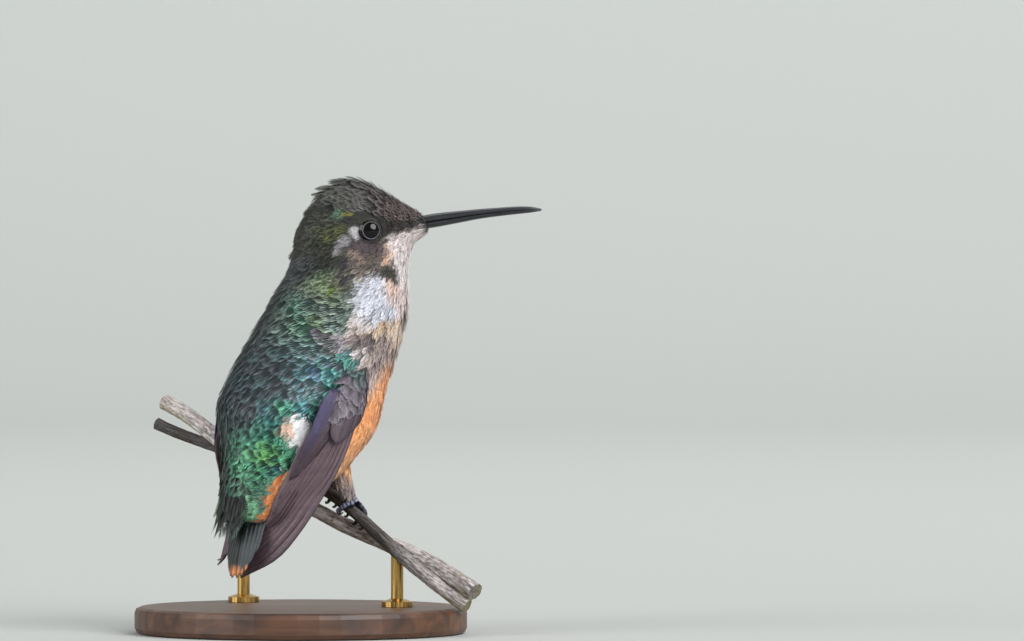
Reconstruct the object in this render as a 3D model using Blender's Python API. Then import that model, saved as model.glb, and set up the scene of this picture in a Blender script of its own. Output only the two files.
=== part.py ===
"""A female woodstar hummingbird at life size, perched on two strands of twisted vine above a small stand.

Lengths are written in millimetres and turned to metres by MM. +Z is up and the origin is the centre of
the base's underside. The head looks along +X. The trunk is turned by BODY_YAW towards +Y, so its back
shows from -Y. Points of the bird are given as (forward, right, up) in the trunk's own frame.
"""

import math

import bmesh
import bpy
import numpy as np
from mathutils import Vector
from mathutils.bvhtree import BVHTree

MM = 0.001

# Driving dimensions, in millimetres and degrees
BODY_YAW = 40.0
HEAD_SIDE = 5.0          # distance of the head's middle plane from the origin, along +Y
JOINT_GAP = 0.12         # clearance where two pieces of the bird meet
FINE_GAP = 0.08          # clearance round the bill and the eyes

BASE_RADIUS = 20.0
BASE_HEIGHT = 3.2
BASE_BEVEL = 0.7
ROD_RADIUS = 0.75
ROD_FOOT_RADIUS = 1.9
ROD_FOOT_HEIGHT = 0.6

EYE_RADIUS = 1.75
EYE_ALONG = 8.15         # the eye's place along the head, and its height
EYE_UP = 48.4
EYE_OUT = 3.85           # the eyeball's centre, from the head's middle plane
BILL_SPLIT = 0.12        # the mouth line lies this share of the bill's depth below its middle

WING_ROWS = 30
WING_COLUMNS = 9
WING_BULGE = 0.7         # how far a folded wing bows outwards between its edges
WING_OUT = 0.9           # its outer face's least distance from the trunk
WING_THICKNESS = 0.6
WING_HAND = 0.35         # where the flight feathers leave the feathered arm, as a share of its length
WING_SPLIT_END = 0.72    # where the inner flight feathers end

VINE_RADII = {"a": 0.68, "b": 0.80}
VINE_SWELL = 0.012       # how much thicker both grow for each millimetre beyond the feet
VINE_START = -17.5
VINE_END = 20.5
VINE_CROSSING = 12.0     # where strand a passes on the -Y side of strand b
VINE_HALF_PITCH = 19.0
VINE_APART = (1.4, 1.02) # each strand's distance from their common line, up and down: left, right
VINE_ABREAST = 0.90      # and sideways, where they pass
VINE_SIDES = 9
VINE_STEPS = 30

TOE_RADIUS = 0.31
CLAW_RADIUS = 0.25
TARSUS_RADIUS = 0.38
FOOT_PLACES = {"right": 6.1, "left": 2.4}      # along the vine, by its X
ROD_PLACES = {"left": -7.2, "right": 11.6}

# Sections of the trunk and neck: up, forward, half depth, half width, turn of the section back to the head
TRUNK_SECTIONS = [
    (48.4, 8.3, 6.1, 4.2, -38),
    (46.5, 8.15, 7.3, 5.5, -34),
    (43.7, 7.4, 7.6, 6.2, -26),
    (41.3, 6.5, 8.6, 7.2, -16),
    (38.5, 5.4, 9.5, 8.3, -6),
    (34.1, 3.05, 10.4, 9.0, 0),
    (31.0, 1.25, 10.75, 9.2, 0),
    (27.6, -0.15, 11.1, 9.2, 0),
    (25.4, -0.4, 10.75, 9.0, 0),
    (23.4, -0.85, 10.0, 8.5, 0),
    (21.3, -1.75, 8.95, 7.8, 0),
    (19.1, -3.1, 7.7, 7.1, 0),
    (17.2, -5.2, 5.8, 6.2, 0),
    (15.0, -7.6, 3.5, 4.9, 0),
    (13.3, -8.6, 1.7, 3.9, 0),
]

# Sections of the head, along +X: place, middle height, half height, half width
HEAD_SECTIONS = [
    (-0.9, 46.7, 1.4, 1.5),
    (0.0, 47.0, 2.7, 3.2),
    (1.2, 47.4, 4.3, 4.4),
    (3.0, 47.9, 5.5, 5.2),
    (5.4, 48.4, 6.05, 5.45),
    (7.8, 48.7, 5.75, 5.15),
    (10.2, 48.8, 4.55, 4.15),
    (11.8, 48.75, 3.4, 3.2),
    (13.2, 48.85, 2.4, 2.4),
    (14.5, 49.05, 1.6, 1.7),
    (15.7, 49.3, 0.98, 1.2),
]

# Raised feathers of the hind crown: root and tip, as (along, up), and half thickness at the root
CREST_TUFTS = [
    ((8.3, 53.1), (3.4, 54.3), 1.5),
    ((5.5, 52.4), (1.55, 52.6), 1.5),
]

# Sections of the bill, along +X: place, middle height, half depth, half width
BILL_SECTIONS = [
    (13.2, 49.05, 0.80, 0.95),
    (15.2, 49.45, 0.80, 0.90),
    (16.8, 49.70, 0.78, 0.80),
    (19.2, 50.05, 0.66, 0.66),
    (21.6, 50.40, 0.54, 0.56),
    (24.0, 50.64, 0.46, 0.50),
    (26.0, 50.82, 0.41, 0.44),
    (27.7, 50.90, 0.30, 0.32),
    (28.9, 50.88, 0.07, 0.07),
]

# Tail: up, forward, right, half thickness, half width
TAIL_SECTIONS = [
    (13.15, -8.70, 0.1, 0.60, 3.7),
    (11.6, -9.15, 0.2, 0.50, 3.65),
    (9.8, -9.65, 0.3, 0.42, 3.0),
    (8.2, -10.0, 0.4, 0.36, 2.0),
    (6.9, -10.2, 0.5, 0.28, 0.8),
]

# Edges of a folded wing, from the shoulder to the tip of the longest primary: forward, right, up
LEADING_EDGE = [
    (2.8, 8.8, 34.4),
    (2.9, 9.9, 29.8),
    (0.45, 10.3, 24.8),
    (-2.8, 9.9, 19.0),
    (-5.6, 8.2, 13.6),
    (-7.5, 5.2, 9.2),
    (-9.5, -0.7, 6.5),
]
TRAILING_EDGE = [
    (-1.4, 8.6, 33.0),
    (-4.2, 8.9, 28.3),
    (-6.7, 8.0, 23.0),
    (-7.7, 5.9, 17.9),
    (-7.2, 3.1, 13.4),
    (-8.0, 1.2, 10.2),
    (-8.8, -0.3, 8.1),
]
# The left wing is held a little wider and higher: what its tip adds to the mirrored right one
LEFT_TIP_SHIFT = (0.6, 5.3, 1.7)
LEFT_TUCK = 1.0          # and how far forward its lower half is drawn

FORWARD = Vector((math.cos(math.radians(BODY_YAW)), math.sin(math.radians(BODY_YAW)), 0))
RIGHT = Vector((FORWARD.y, -FORWARD.x, 0))
UP = Vector((0, 0, 1))


def body_point(forward, right, up):
    """A point of the trunk's own frame, in metres."""
    return (FORWARD * forward + RIGHT * right + UP * up) * MM


def smooth_rows(rows, count):
    """Evenly spaced rows on the Catmull-Rom curve through the given ones."""
    rows = np.array(rows, float)
    padded = np.vstack([2 * rows[0] - rows[1], rows, 2 * rows[-1] - rows[-2]])
    found = []
    for place in np.linspace(0, len(rows) - 1, count):
        i = min(int(place), len(rows) - 2)
        t = place - i
        p0, p1, p2, p3 = padded[i:i + 4]
        found.append(
            0.5 * (2 * p1 + (p2 - p0) * t + (2 * p0 - 5 * p1 + 4 * p2 - p3) * t ** 2
                   + (3 * p1 - p0 - 3 * p2 + p3) * t ** 3)
        )
    return found


def material(name, colour, roughness, metallic=0.0):
    made = bpy.data.materials.new(name)
    made.use_nodes = True
    shader = made.node_tree.nodes["Principled BSDF"]
    shader.inputs["Base Color"].default_value = (*colour, 1)
    shader.inputs["Roughness"].default_value = roughness
    shader.inputs["Metallic"].default_value = metallic
    return made


def object_from(name, mesh, finish):
    """Closes a bmesh into a named object whose faces point out."""
    bmesh.ops.recalc_face_normals(mesh, faces=mesh.faces)
    data = bpy.data.meshes.new(name)
    mesh.to_mesh(data)
    mesh.free()
    made = bpy.data.objects.new(name, data)
    bpy.context.scene.collection.objects.link(made)
    data.materials.append(finish)
    data.shade_smooth()
    data.set_sharp_from_angle(angle=math.radians(40))
    return made


def loft(name, rings, finish):
    """A closed solid through rings of equal point counts, with a flat cap at each end."""
    mesh = bmesh.new()
    rows = [[mesh.verts.new(point) for point in ring] for ring in rings]
    for low, high in zip(rows, rows[1:]):
        for i in range(len(low)):
            j = (i + 1) % len(low)
            mesh.faces.new((low[i], low[j], high[j], high[i]))
    mesh.faces.new(rows[0])
    mesh.faces.new(rows[-1])
    return object_from(name, mesh, finish)


def oval(centre, across, deep, count):
    """Points round an ellipse with the given centre and half axes."""
    turns = [2 * math.pi * i / count for i in range(count)]
    return [centre + across * math.cos(t) + deep * math.sin(t) for t in turns]


def hide(cutter):
    cutter.hide_render = True
    cutter.display_type = "WIRE"


def boolean(target, other, operation):
    """Adds a live Boolean and turns the other solid into a hidden helper."""
    modifier = target.modifiers.new(operation.lower(), "BOOLEAN")
    modifier.operation = operation
    modifier.solver = "EXACT"
    modifier.object = other
    hide(other)


def evaluated_mesh(obj):
    graph = bpy.context.evaluated_depsgraph_get()
    return bpy.data.meshes.new_from_object(obj.evaluated_get(graph))


def trunk_loft(name, finish, grow=0.0):
    """The neck and trunk in one piece, or a copy of it grown by a clearance."""
    rings = []
    for up, forward, deep, wide, turn in smooth_rows(TRUNK_SECTIONS, 26):
        yaw = math.radians(BODY_YAW + turn)
        ahead = Vector((math.cos(yaw), math.sin(yaw), 0))
        aside = Vector((ahead.y, -ahead.x, 0))
        centre = body_point(forward, 0, up)
        rings.append(oval(centre, ahead * (deep + grow) * MM, aside * (wide + grow) * MM, 24))
    return loft(name, rings, finish)


def head_loft(name, finish):
    rings = []
    for along, up, high, wide in smooth_rows(HEAD_SECTIONS, 19):
        centre = Vector((along, HEAD_SIDE, up)) * MM
        rings.append(oval(centre, Vector((0, wide, 0)) * MM, UP * high * MM, 20))
    return loft(name, rings, finish)


def crest_tuft(name, root, tip, thick, finish):
    """A pointed raised lock of the hind crown, wider than thick."""
    rings = []
    for share in np.linspace(0, 1, 6):
        along = root[0] + (tip[0] - root[0]) * share
        up = root[1] + (tip[1] - root[1]) * share + 0.5 * math.sin(math.pi * share)
        half = thick * (1 - share) ** 0.8 + 0.06
        centre = Vector((along, HEAD_SIDE, up)) * MM
        rings.append(oval(centre, Vector((0, 1.9 * half, 0)) * MM, UP * 0.75 * half * MM, 10))
    return loft(name, rings, finish)


def cut_part(name, whole, planes, finish):
    """The stretch of a mesh between planes, each given as a point and the direction to remove."""
    mesh = bmesh.new()
    mesh.from_mesh(whole)
    for point, away in planes:
        found = bmesh.ops.bisect_plane(
            mesh, geom=mesh.verts[:] + mesh.edges[:] + mesh.faces[:], dist=1e-8,
            plane_co=point, plane_no=away, clear_outer=True,
        )
        rim = [e for e in found["geom_cut"] if isinstance(e, bmesh.types.BMEdge)]
        bmesh.ops.contextual_create(mesh, geom=rim)
    return object_from(name, mesh, finish)


def make_flesh(paints):
    """Head, neck and trunk: one body, parted by two thin cuts."""
    whole = trunk_loft("whole_bird", paints["back"])
    skull = head_loft("whole_head", paints["back"])
    boolean(whole, skull, "UNION")
    for number, (root, tip, thick) in enumerate(CREST_TUFTS):
        boolean(whole, crest_tuft(f"crest_{number}", root, tip, thick, paints["back"]), "UNION")
    mesh = evaluated_mesh(whole)
    hide(whole)

    nape = Vector((6.0, HEAD_SIDE, 43.6)) * MM
    nape_way = Vector((-0.25, 0, 1)).normalized()
    collar = Vector((3.0, 2.0, 37.0)) * MM
    collar_way = Vector((-0.35, 0, 1)).normalized()
    half_gap = JOINT_GAP / 2 * MM
    head = cut_part("head", mesh, [(nape + nape_way * half_gap, -nape_way)], paints["crown"])
    cut_part(
        "neck", mesh,
        [(nape - nape_way * half_gap, nape_way), (collar + collar_way * half_gap, -collar_way)],
        paints["back"],
    )
    trunk = cut_part("trunk", mesh, [(collar - collar_way * half_gap, collar_way)], paints["back"])
    return head, trunk


def make_eyes(head, finish):
    """Two eyeballs, each in a round socket cut into the head."""
    for side, sign in (("right", -1), ("left", 1)):
        place = Vector((EYE_ALONG, HEAD_SIDE + sign * EYE_OUT, EYE_UP)) * MM
        for name, radius in ((f"eye_{side}", EYE_RADIUS), (f"socket_{side}", EYE_RADIUS + FINE_GAP)):
            mesh = bmesh.new()
            bmesh.ops.create_uvsphere(mesh, u_segments=16, v_segments=10, radius=radius * MM)
            bmesh.ops.translate(mesh, verts=mesh.verts, vec=place)
            ball = object_from(name, mesh, finish)
        boolean(head, ball, "DIFFERENCE")


def half_ring(centre, wide, deep, sign, count=7):
    """A half ellipse above (sign 1) or below (sign -1) a flat mouth line."""
    turns = [math.pi * i / count for i in range(count + 1)]
    return [
        centre + Vector((0, wide * math.cos(t), sign * deep * math.sin(t))) for t in turns
    ]


def make_bill(head, finish):
    """Upper and lower bill, and the hole in the head that takes them."""
    sections = smooth_rows(BILL_SECTIONS, 17)
    halves = {"bill_upper": [], "bill_lower": []}
    socket = []
    for along, up, deep, wide in sections:
        mouth = up - BILL_SPLIT * deep
        slit = min(FINE_GAP / 2, 0.2 * deep)
        for name, sign in (("bill_upper", 1), ("bill_lower", -1)):
            edge = Vector((along, HEAD_SIDE, mouth + sign * slit)) * MM
            reach = up + sign * deep - (mouth + sign * slit)
            halves[name].append(half_ring(edge, wide * MM, abs(reach) * MM, sign))
        middle = Vector((along - 0.1, HEAD_SIDE, up)) * MM
        across = Vector((0, wide + 1.5 * FINE_GAP, 0)) * MM
        socket.append(oval(middle, across, UP * (deep + 2 * FINE_GAP) * MM, 16))
    for name, rings in halves.items():
        loft(name, rings, finish)
    boolean(head, loft("bill_socket", socket, finish), "DIFFERENCE")


def make_tail(finish):
    """The closed tail: a thin fan, hollow below, narrowing to the tips of the middle feathers."""
    rings = []
    count = 9
    for up, forward, right, thick, wide in smooth_rows(TAIL_SECTIONS, 12):
        top, bottom = [], []
        for i in range(count):
            share = 2 * i / (count - 1) - 1
            curl = 0.07 * wide * share ** 2
            half = thick * (1 - 0.45 * share ** 2)
            top.append(body_point(forward + curl - half, right + wide * share, up))
            bottom.append(body_point(forward + curl + half, right + wide * share, up))
        rings.append(top + bottom[::-1])
    loft("tail", rings, finish)


def wing_surface(side, trunk_tree):
    """Rows of points on a folded wing's outer face, held clear of the trunk."""
    sign = 1 if side == "right" else -1
    leading = smooth_rows(LEADING_EDGE, WING_ROWS)
    trailing = smooth_rows(TRAILING_EDGE, WING_ROWS)
    rows = []
    for i, (front, back) in enumerate(zip(leading, trailing)):
        along = i / (WING_ROWS - 1)
        shift = np.zeros(3)
        if side == "left":
            shift = np.array(LEFT_TIP_SHIFT) * along ** 5
            shift[0] += LEFT_TUCK * math.exp(-((along - 0.66) / 0.2) ** 2)
        row = []
        for share in np.linspace(0, 1, WING_COLUMNS):
            forward, right, up = front + (back - front) * share + shift
            bow = WING_BULGE * 4 * share * (1 - share) * (1 - along) ** 0.5
            point = body_point(forward, sign * (right + bow), up)
            near, normal, _, distance = trunk_tree.find_nearest(point)
            inside = (point - near).dot(normal) < 0
            if inside or distance < WING_OUT * MM:
                point = near + normal * WING_OUT * MM
            row.append(point)
        rows.append(row)
    return rows


def inward_grid(rows, sign):
    """For each point of a wing grid, the unit direction into the wing."""
    found = []
    for i, row in enumerate(rows):
        below = rows[min(i + 1, len(rows) - 1)]
        above = rows[max(i - 1, 0)]
        chord = row[-1] - row[0]
        found.append([((low - high).cross(chord) * sign).normalized() for low, high in zip(below, above)])
    return found


def pick(grid, start, end, low, high):
    """The part of a wing grid between two shares of its length and of its width, resampled."""
    count = max(4, round((end - start) * WING_ROWS * 0.8))
    found = []
    for place in np.linspace(start, end, count):
        spot = place * (len(grid) - 1)
        i = min(int(spot), len(grid) - 2)
        row = [a.lerp(b, spot - i) for a, b in zip(grid[i], grid[i + 1])]
        spots = np.linspace(low(place), high(place), 6) * (len(row) - 1)
        cells = [min(int(x), len(row) - 2) for x in spots]
        found.append([row[j].lerp(row[j + 1], x - j) for x, j in zip(spots, cells)])
    return found


def make_wing(side, trunk_tree, finish):
    """A folded wing in three pieces: the feathered arm, the primaries and the inner feathers."""
    def whole(place):
        return 1

    def none(place):
        return 0

    def split(place):
        return min(1, 0.5 + 0.5 * ((place - WING_HAND) / (WING_SPLIT_END - WING_HAND)) ** 1.4)

    def past_split(place):
        return split(place) + 0.07

    outer = wing_surface(side, trunk_tree)
    inward = inward_grid(outer, -1 if side == "right" else 1)
    pieces = (
        ("coverts", 0, WING_HAND - 0.01, none, whole),
        ("primaries", WING_HAND, 1, none, split),
        ("secondaries", WING_HAND, WING_SPLIT_END - 0.12, past_split, whole),
    )
    for name, start, end, low, high in pieces:
        rings = []
        faces = pick(outer, start, end, low, high)
        ways = pick(inward, start, end, low, high)
        for points, sinks in zip(faces, ways):
            under = [p + way * WING_THICKNESS * MM for p, way in zip(points, sinks)]
            rings.append(points + under[::-1])
        loft(f"wing_{side}_{name}", rings, finish)


def vine_line(x):
    """The common line that the two strands wind round."""
    return Vector((x, 2.9 - 0.7 * (x - 6.2), 17.05 - 0.56 * x - 0.0028 * x * x)) * MM


def strand_frame(letter, x):
    """A strand's centre at a place along the vine, with its direction, up and side."""
    along = (vine_line(x + 0.1) - vine_line(x - 0.1)).normalized()
    up = (UP - along * along.z).normalized()
    side = along.cross(up)
    turn = math.pi * (VINE_CROSSING - x) / VINE_HALF_PITCH + (math.pi if letter == "b" else 0)
    apart = VINE_APART[0] if x < VINE_CROSSING else VINE_APART[1]
    offset = up * apart * math.sin(turn) + side * VINE_ABREAST * math.cos(turn)
    return vine_line(x) + offset * MM, along, up, side


def strand_radius(letter, x):
    return VINE_RADII[letter] + VINE_SWELL * max(0, x - FOOT_PLACES["right"])


def make_vine(finish):
    for letter in VINE_RADII:
        places = np.linspace(VINE_START, VINE_END, VINE_STEPS)
        centres = [strand_frame(letter, x)[0] for x in places]
        rings = []
        for i, centre in enumerate(centres):
            ahead = (centres[min(i + 1, len(centres) - 1)] - centres[max(i - 1, 0)]).normalized()
            up = (UP - ahead * ahead.z).normalized()
            radius = strand_radius(letter, places[i]) * MM
            rings.append(oval(centre, ahead.cross(up) * radius, up * radius, VINE_SIDES))
        loft(f"perch_vine_{letter}", rings, finish)


def tube(name, points, radii, finish, sides=8):
    """A round bar through points, with a radius at each."""
    rings = []
    hint = Vector((0.3, 0.2, 0.9))
    for i, point in enumerate(points):
        ahead = (points[min(i + 1, len(points) - 1)] - points[max(i - 1, 0)]).normalized()
        across = ahead.cross(hint).normalized()
        rings.append(oval(point, across * radii[i] * MM, ahead.cross(across) * radii[i] * MM, sides))
    return loft(name, rings, finish)


def toe_path(x, slide, spread, start, end, reach, steps=7):
    """Points of a toe that lies round strand a, turning from start to end degrees over its top."""
    found = []
    for share in np.linspace(0, 1, steps):
        centre, along, up, side = strand_frame("a", x + slide + spread * share)
        turn = math.radians(start + (end - start) * share)
        found.append(centre + (up * math.cos(turn) - side * math.sin(turn)) * reach * MM)
    return found


def make_foot(side, finish, claw_finish):
    """Three toes over the far side of the vine, one over the near side, and their claws."""
    x = FOOT_PLACES[side]
    reach = VINE_RADII["a"] + TOE_RADIUS + 0.07
    toes = {
        "inner": (-0.25, -0.45, 14, 138),
        "middle": (0.15, 0.35, 14, 150),
        "outer": (0.55, 0.8, 14, 138),
        "hind": (-0.1, -1.1, -20, -146),
    }
    centre, _, up, _ = strand_frame("a", x)
    ankle = centre + up * (reach + 0.16) * MM
    ball_mesh = bmesh.new()
    bmesh.ops.create_uvsphere(ball_mesh, u_segments=9, v_segments=6, radius=0.42 * MM)
    bmesh.ops.translate(ball_mesh, verts=ball_mesh.verts, vec=ankle)
    foot = object_from(f"foot_{side}", ball_mesh, finish)
    for name, (slide, spread, start, end) in toes.items():
        path = toe_path(x, slide * 0.5, slide * 0.5 + spread, start, end, reach)
        radii = [TOE_RADIUS * (1 - 0.02 * i) for i in range(len(path))]
        boolean(foot, tube(f"toe_{side}_{name}", path, radii, finish, 6), "UNION")
        turn = math.copysign(1, end)
        claw_x = x + slide + spread
        claw = toe_path(claw_x, 0, 0.1, end + 13 * turn, end + 62 * turn, reach + 0.06, 5)
        claw_radii = [CLAW_RADIUS * (1 - i / 4.5) + 0.03 for i in range(5)]
        tube(f"claw_{side}_{name}", claw, claw_radii, claw_finish, 6)
    return ankle


def make_leg(side, ankle, paints):
    """The feathered thigh, narrowing to the bare shank, which ends on the foot."""
    sign = 1 if side == "right" else -1
    heel = ankle + Vector((-0.8, 0.0, 1.25)) * MM
    knee = heel + Vector((-0.8, 0.1, 2.3)) * MM
    hip = body_point(3.0, sign * 2.2, 24.5)
    points = [hip, hip.lerp(knee, 0.55), knee, knee.lerp(heel, 0.55), heel]
    thigh = tube(f"thigh_{side}", points, [2.4, 1.9, 1.3, 0.92, 0.66], paints["belly"], 12)
    boolean(thigh, trunk_loft(f"hip_{side}", paints["belly"], JOINT_GAP + 0.06), "DIFFERENCE")
    top = heel + (ankle - heel).normalized() * 0.3 * MM
    bottom = ankle + UP * 0.56 * MM
    tube(f"shank_{side}", [top, top.lerp(bottom, 0.5), bottom], [TARSUS_RADIUS] * 3, paints["foot"])


def make_stand(wood, brass):
    """A round base and two rods, each hollowed at its top to cradle the vine."""
    mesh = bmesh.new()
    bmesh.ops.create_cone(
        mesh, cap_ends=True, segments=48, radius1=BASE_RADIUS * MM, radius2=BASE_RADIUS * MM,
        depth=BASE_HEIGHT * MM,
    )
    bmesh.ops.translate(mesh, verts=mesh.verts, vec=UP * BASE_HEIGHT / 2 * MM)
    base = object_from("stand_base", mesh, wood)
    bevel = base.modifiers.new("edge", "BEVEL")
    bevel.width = BASE_BEVEL * MM
    bevel.segments = 2
    for name, x in ROD_PLACES.items():
        line = vine_line(x) / MM
        foot = BASE_HEIGHT + 0.04
        profile = [
            (foot, ROD_FOOT_RADIUS),
            (foot + ROD_FOOT_HEIGHT, ROD_FOOT_RADIUS),
            (foot + 1.6 * ROD_FOOT_HEIGHT, ROD_RADIUS),
            (line.z - 0.6, ROD_RADIUS),
        ]
        rings = [
            oval(Vector((line.x, line.y, up)) * MM, Vector((r, 0, 0)) * MM, Vector((0, r, 0)) * MM, 16)
            for up, r in profile
        ]
        rod = loft(f"stand_rod_{name}", rings, brass)
        for letter in VINE_RADII:
            path = [strand_frame(letter, x + step)[0] for step in np.linspace(-3, 3, 7)]
            radius = strand_radius(letter, x) + 0.09
            saddle = tube(f"saddle_{name}_{letter}", path, [radius] * 7, brass, 16)
            boolean(rod, saddle, "DIFFERENCE")


def main():
    for obj in list(bpy.data.objects):
        bpy.data.objects.remove(obj)
    paints = {
        "back": material("green plumage", (0.05, 0.16, 0.11), 0.5),
        "crown": material("bronze plumage", (0.12, 0.11, 0.09), 0.6),
        "belly": material("rufous plumage", (0.65, 0.27, 0.10), 0.8),
        "wing": material("dusky wing", (0.12, 0.09, 0.10), 0.5),
        "foot": material("dark scaled skin", (0.05, 0.05, 0.06), 0.45),
    }
    horn = material("black horn", (0.02, 0.02, 0.025), 0.3)
    eye = material("dark eye", (0.01, 0.01, 0.012), 0.08)
    bark = material("grey vine bark", (0.36, 0.31, 0.27), 0.9)
    wood = material("stained wood", (0.10, 0.055, 0.03), 0.4)
    brass = material("brass rod", (0.72, 0.52, 0.25), 0.3, 1.0)

    head, trunk = make_flesh(paints)
    make_eyes(head, eye)
    make_bill(head, horn)
    make_tail(paints["back"])
    trunk_mesh = bmesh.new()
    trunk_mesh.from_mesh(bpy.data.objects["whole_bird"].data)
    tree = BVHTree.FromBMesh(trunk_mesh)
    for side in ("right", "left"):
        make_wing(side, tree, paints["wing"])
        make_leg(side, make_foot(side, paints["foot"], horn), paints)
    make_vine(bark)
    make_stand(wood, brass)


main()
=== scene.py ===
# %% [markdown]
# # A woodstar on its vine
# A museum shows a hummingbird at life size, on a cut length of vine held by two brass rods. The solids
# of the frame give every outline. This lesson dresses them: one skin, thousands of small feathers over
# it, wings and tail made feather by feather, then eyes, bill, feet, vine and stand. Lengths are in
# millimetres and MM turns them to metres.

# %% Load the frame
import heapq
import math

import bpy
import numpy as np
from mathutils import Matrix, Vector, noise
from mathutils.bvhtree import BVHTree


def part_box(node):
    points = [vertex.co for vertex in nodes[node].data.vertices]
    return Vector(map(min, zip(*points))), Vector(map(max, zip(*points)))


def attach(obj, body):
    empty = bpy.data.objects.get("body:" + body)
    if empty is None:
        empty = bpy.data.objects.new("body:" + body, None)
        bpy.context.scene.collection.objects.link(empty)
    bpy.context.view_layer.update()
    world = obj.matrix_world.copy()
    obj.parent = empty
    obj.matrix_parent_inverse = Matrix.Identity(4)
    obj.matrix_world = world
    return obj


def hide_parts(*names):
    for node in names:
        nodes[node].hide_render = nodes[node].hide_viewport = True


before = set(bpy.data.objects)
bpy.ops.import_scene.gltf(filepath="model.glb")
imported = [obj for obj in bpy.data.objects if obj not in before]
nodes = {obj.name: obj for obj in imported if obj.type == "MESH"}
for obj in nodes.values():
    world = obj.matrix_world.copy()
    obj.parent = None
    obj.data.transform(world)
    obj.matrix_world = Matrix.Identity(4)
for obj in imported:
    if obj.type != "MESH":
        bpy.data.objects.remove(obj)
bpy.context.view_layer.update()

MM = 0.001

# %% [markdown]
# Colours are written as a screen's hex values, and one function turns them to the linear light that
# shaders count in. One more adds a shader node and links it, so a material reads as a list of steps.

# %% Colour and node helpers
def linear(hex_colour):
    """A screen colour such as "#a05a2c" as linear red, green, blue and alpha."""
    parts = np.array([int(hex_colour[i:i + 2], 16) for i in (1, 3, 5)]) / 255
    low = parts / 12.92
    high = ((parts + 0.055) / 1.055) ** 2.4
    return tuple(float(v) for v in np.where(parts <= 0.04045, low, high)) + (1.0,)


def rgb(hex_colour):
    """The linear red, green and blue of a screen colour."""
    return np.array(linear(hex_colour)[:3])


def add(tree, kind, settings=None, **inputs):
    """Adds a node. settings are its properties; inputs are its sockets, each a value or another's output."""
    made = tree.nodes.new("ShaderNode" + kind)
    for key, value in (settings or {}).items():
        setattr(made, key, value)
    for key, value in inputs.items():
        socket = made.inputs[int(key[1:])] if key[0] == "i" and key[1:].isdigit() else made.inputs[key]
        if isinstance(value, bpy.types.NodeSocket):
            tree.links.new(value, socket)
        else:
            socket.default_value = value
    return made


def finish(name, **sockets):
    """A new material with its Principled shader's own sockets set, and its tree and shader."""
    made = bpy.data.materials.new(name)
    made.use_nodes = True
    shader = made.node_tree.nodes["Principled BSDF"]
    for key, value in sockets.items():
        shader.inputs[key.replace("_", " ")].default_value = value
    return made, made.node_tree, shader


print("grey #808080 is", round(linear("#808080")[0], 3), "in linear light")

# %% [markdown]
# The same few steps come back in most materials, so each gets a short name here. Grain sizes and bump
# depths are millimetres on the real object.

# %% Steps of a material
def stored(tree, name, output="Fac"):
    """A value stored on the piece's points."""
    return add(tree, "Attribute", {"attribute_name": name}).outputs[output]


def maths(tree, operation, *values):
    """One sum on single values."""
    sockets = {f"i{place}": value for place, value in enumerate(values)}
    return add(tree, "Math", {"operation": operation}, **sockets).outputs["Value"]


def ranged(tree, value, low, high, to_low, to_high):
    """A value moved from one range to another, and kept inside it."""
    return add(tree, "MapRange", Value=value, i1=low, i2=high, i3=to_low, i4=to_high).outputs["Result"]


def on_piece(tree, stretch=None):
    """Each point's place on its piece. stretch scales the three axes."""
    place = add(tree, "TexCoord").outputs["Object"]
    if stretch:
        place = add(tree, "Mapping", Vector=place, Scale=stretch).outputs["Vector"]
    return place


def grained(tree, place, size, detail, **more):
    """Noise with grains of a size in millimetres."""
    return add(tree, "TexNoise", Vector=place, Scale=1 / (size * MM), Detail=detail, **more).outputs["Fac"]


def scaled(tree, colour, factor):
    """A colour made darker or lighter by a factor."""
    return add(tree, "VectorMath", {"operation": "SCALE"}, i0=colour, Scale=factor).outputs["Vector"]


def coloured(tree, shader, colour):
    tree.links.new(colour, shader.inputs["Base Color"])


def raised(tree, shader, height, strength, depth):
    """A surface raised by a height, with a depth in millimetres."""
    bump = add(tree, "Bump", Height=height, Strength=strength, Distance=depth * MM)
    tree.links.new(bump.outputs["Normal"], shader.inputs["Normal"])


def ramp(tree, factor, stops):
    """A colour ramp through (place, colour) stops."""
    made = add(tree, "ValToRGB", i0=factor)
    points = made.color_ramp.elements
    while len(points) < len(stops):
        points.new(0.5)
    for point, (place, colour) in zip(points, stops):
        point.position = place
        point.color = linear(colour)
    return made.outputs["Color"]


print("a bump 0.05 mm deep is", 0.05 * MM, "m for the shader")

# %% [markdown]
# Every piece ends the same way: it gets its finish, rides on the one body and hides the solids that it
# stands for. The values that its material reads are stored on its points.

# %% Making and settling pieces
def deselect():
    bpy.ops.object.select_all(action="DESELECT")


def settle(piece, replaced=(), material=None):
    """The last step for every piece: its finish, its body, and the nodes that it stands for."""
    if material:
        piece.data.materials.clear()
        piece.data.materials.append(material)
    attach(piece, "root")
    if replaced:
        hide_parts(*replaced)
    return piece


def mesh_piece(name, points, faces):
    """A mesh object from points in millimetres and faces given by their corners."""
    data = bpy.data.meshes.new(name)
    data.from_pydata((np.asarray(points) * MM).tolist(), [], [list(face) for face in faces])
    data.shade_smooth()
    made = bpy.data.objects.new(name, data)
    bpy.context.scene.collection.objects.link(made)
    return made


def store(piece, name, values, kind="FLOAT"):
    """Stores one value per point for a material to read: a number, a vector or a colour."""
    values = np.asarray(values, float).ravel()
    if kind == "FLOAT_COLOR":
        layer = piece.data.color_attributes.new(name, kind, "POINT")
        layer.data.foreach_set("color", values)
    else:
        layer = piece.data.attributes.new(name, kind, "POINT")
        layer.data.foreach_set("vector" if kind == "FLOAT_VECTOR" else "value", values)


def turns_of(around):
    """Equal angles round a full turn."""
    return np.linspace(0, 2 * math.pi, around, endpoint=False)


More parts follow.
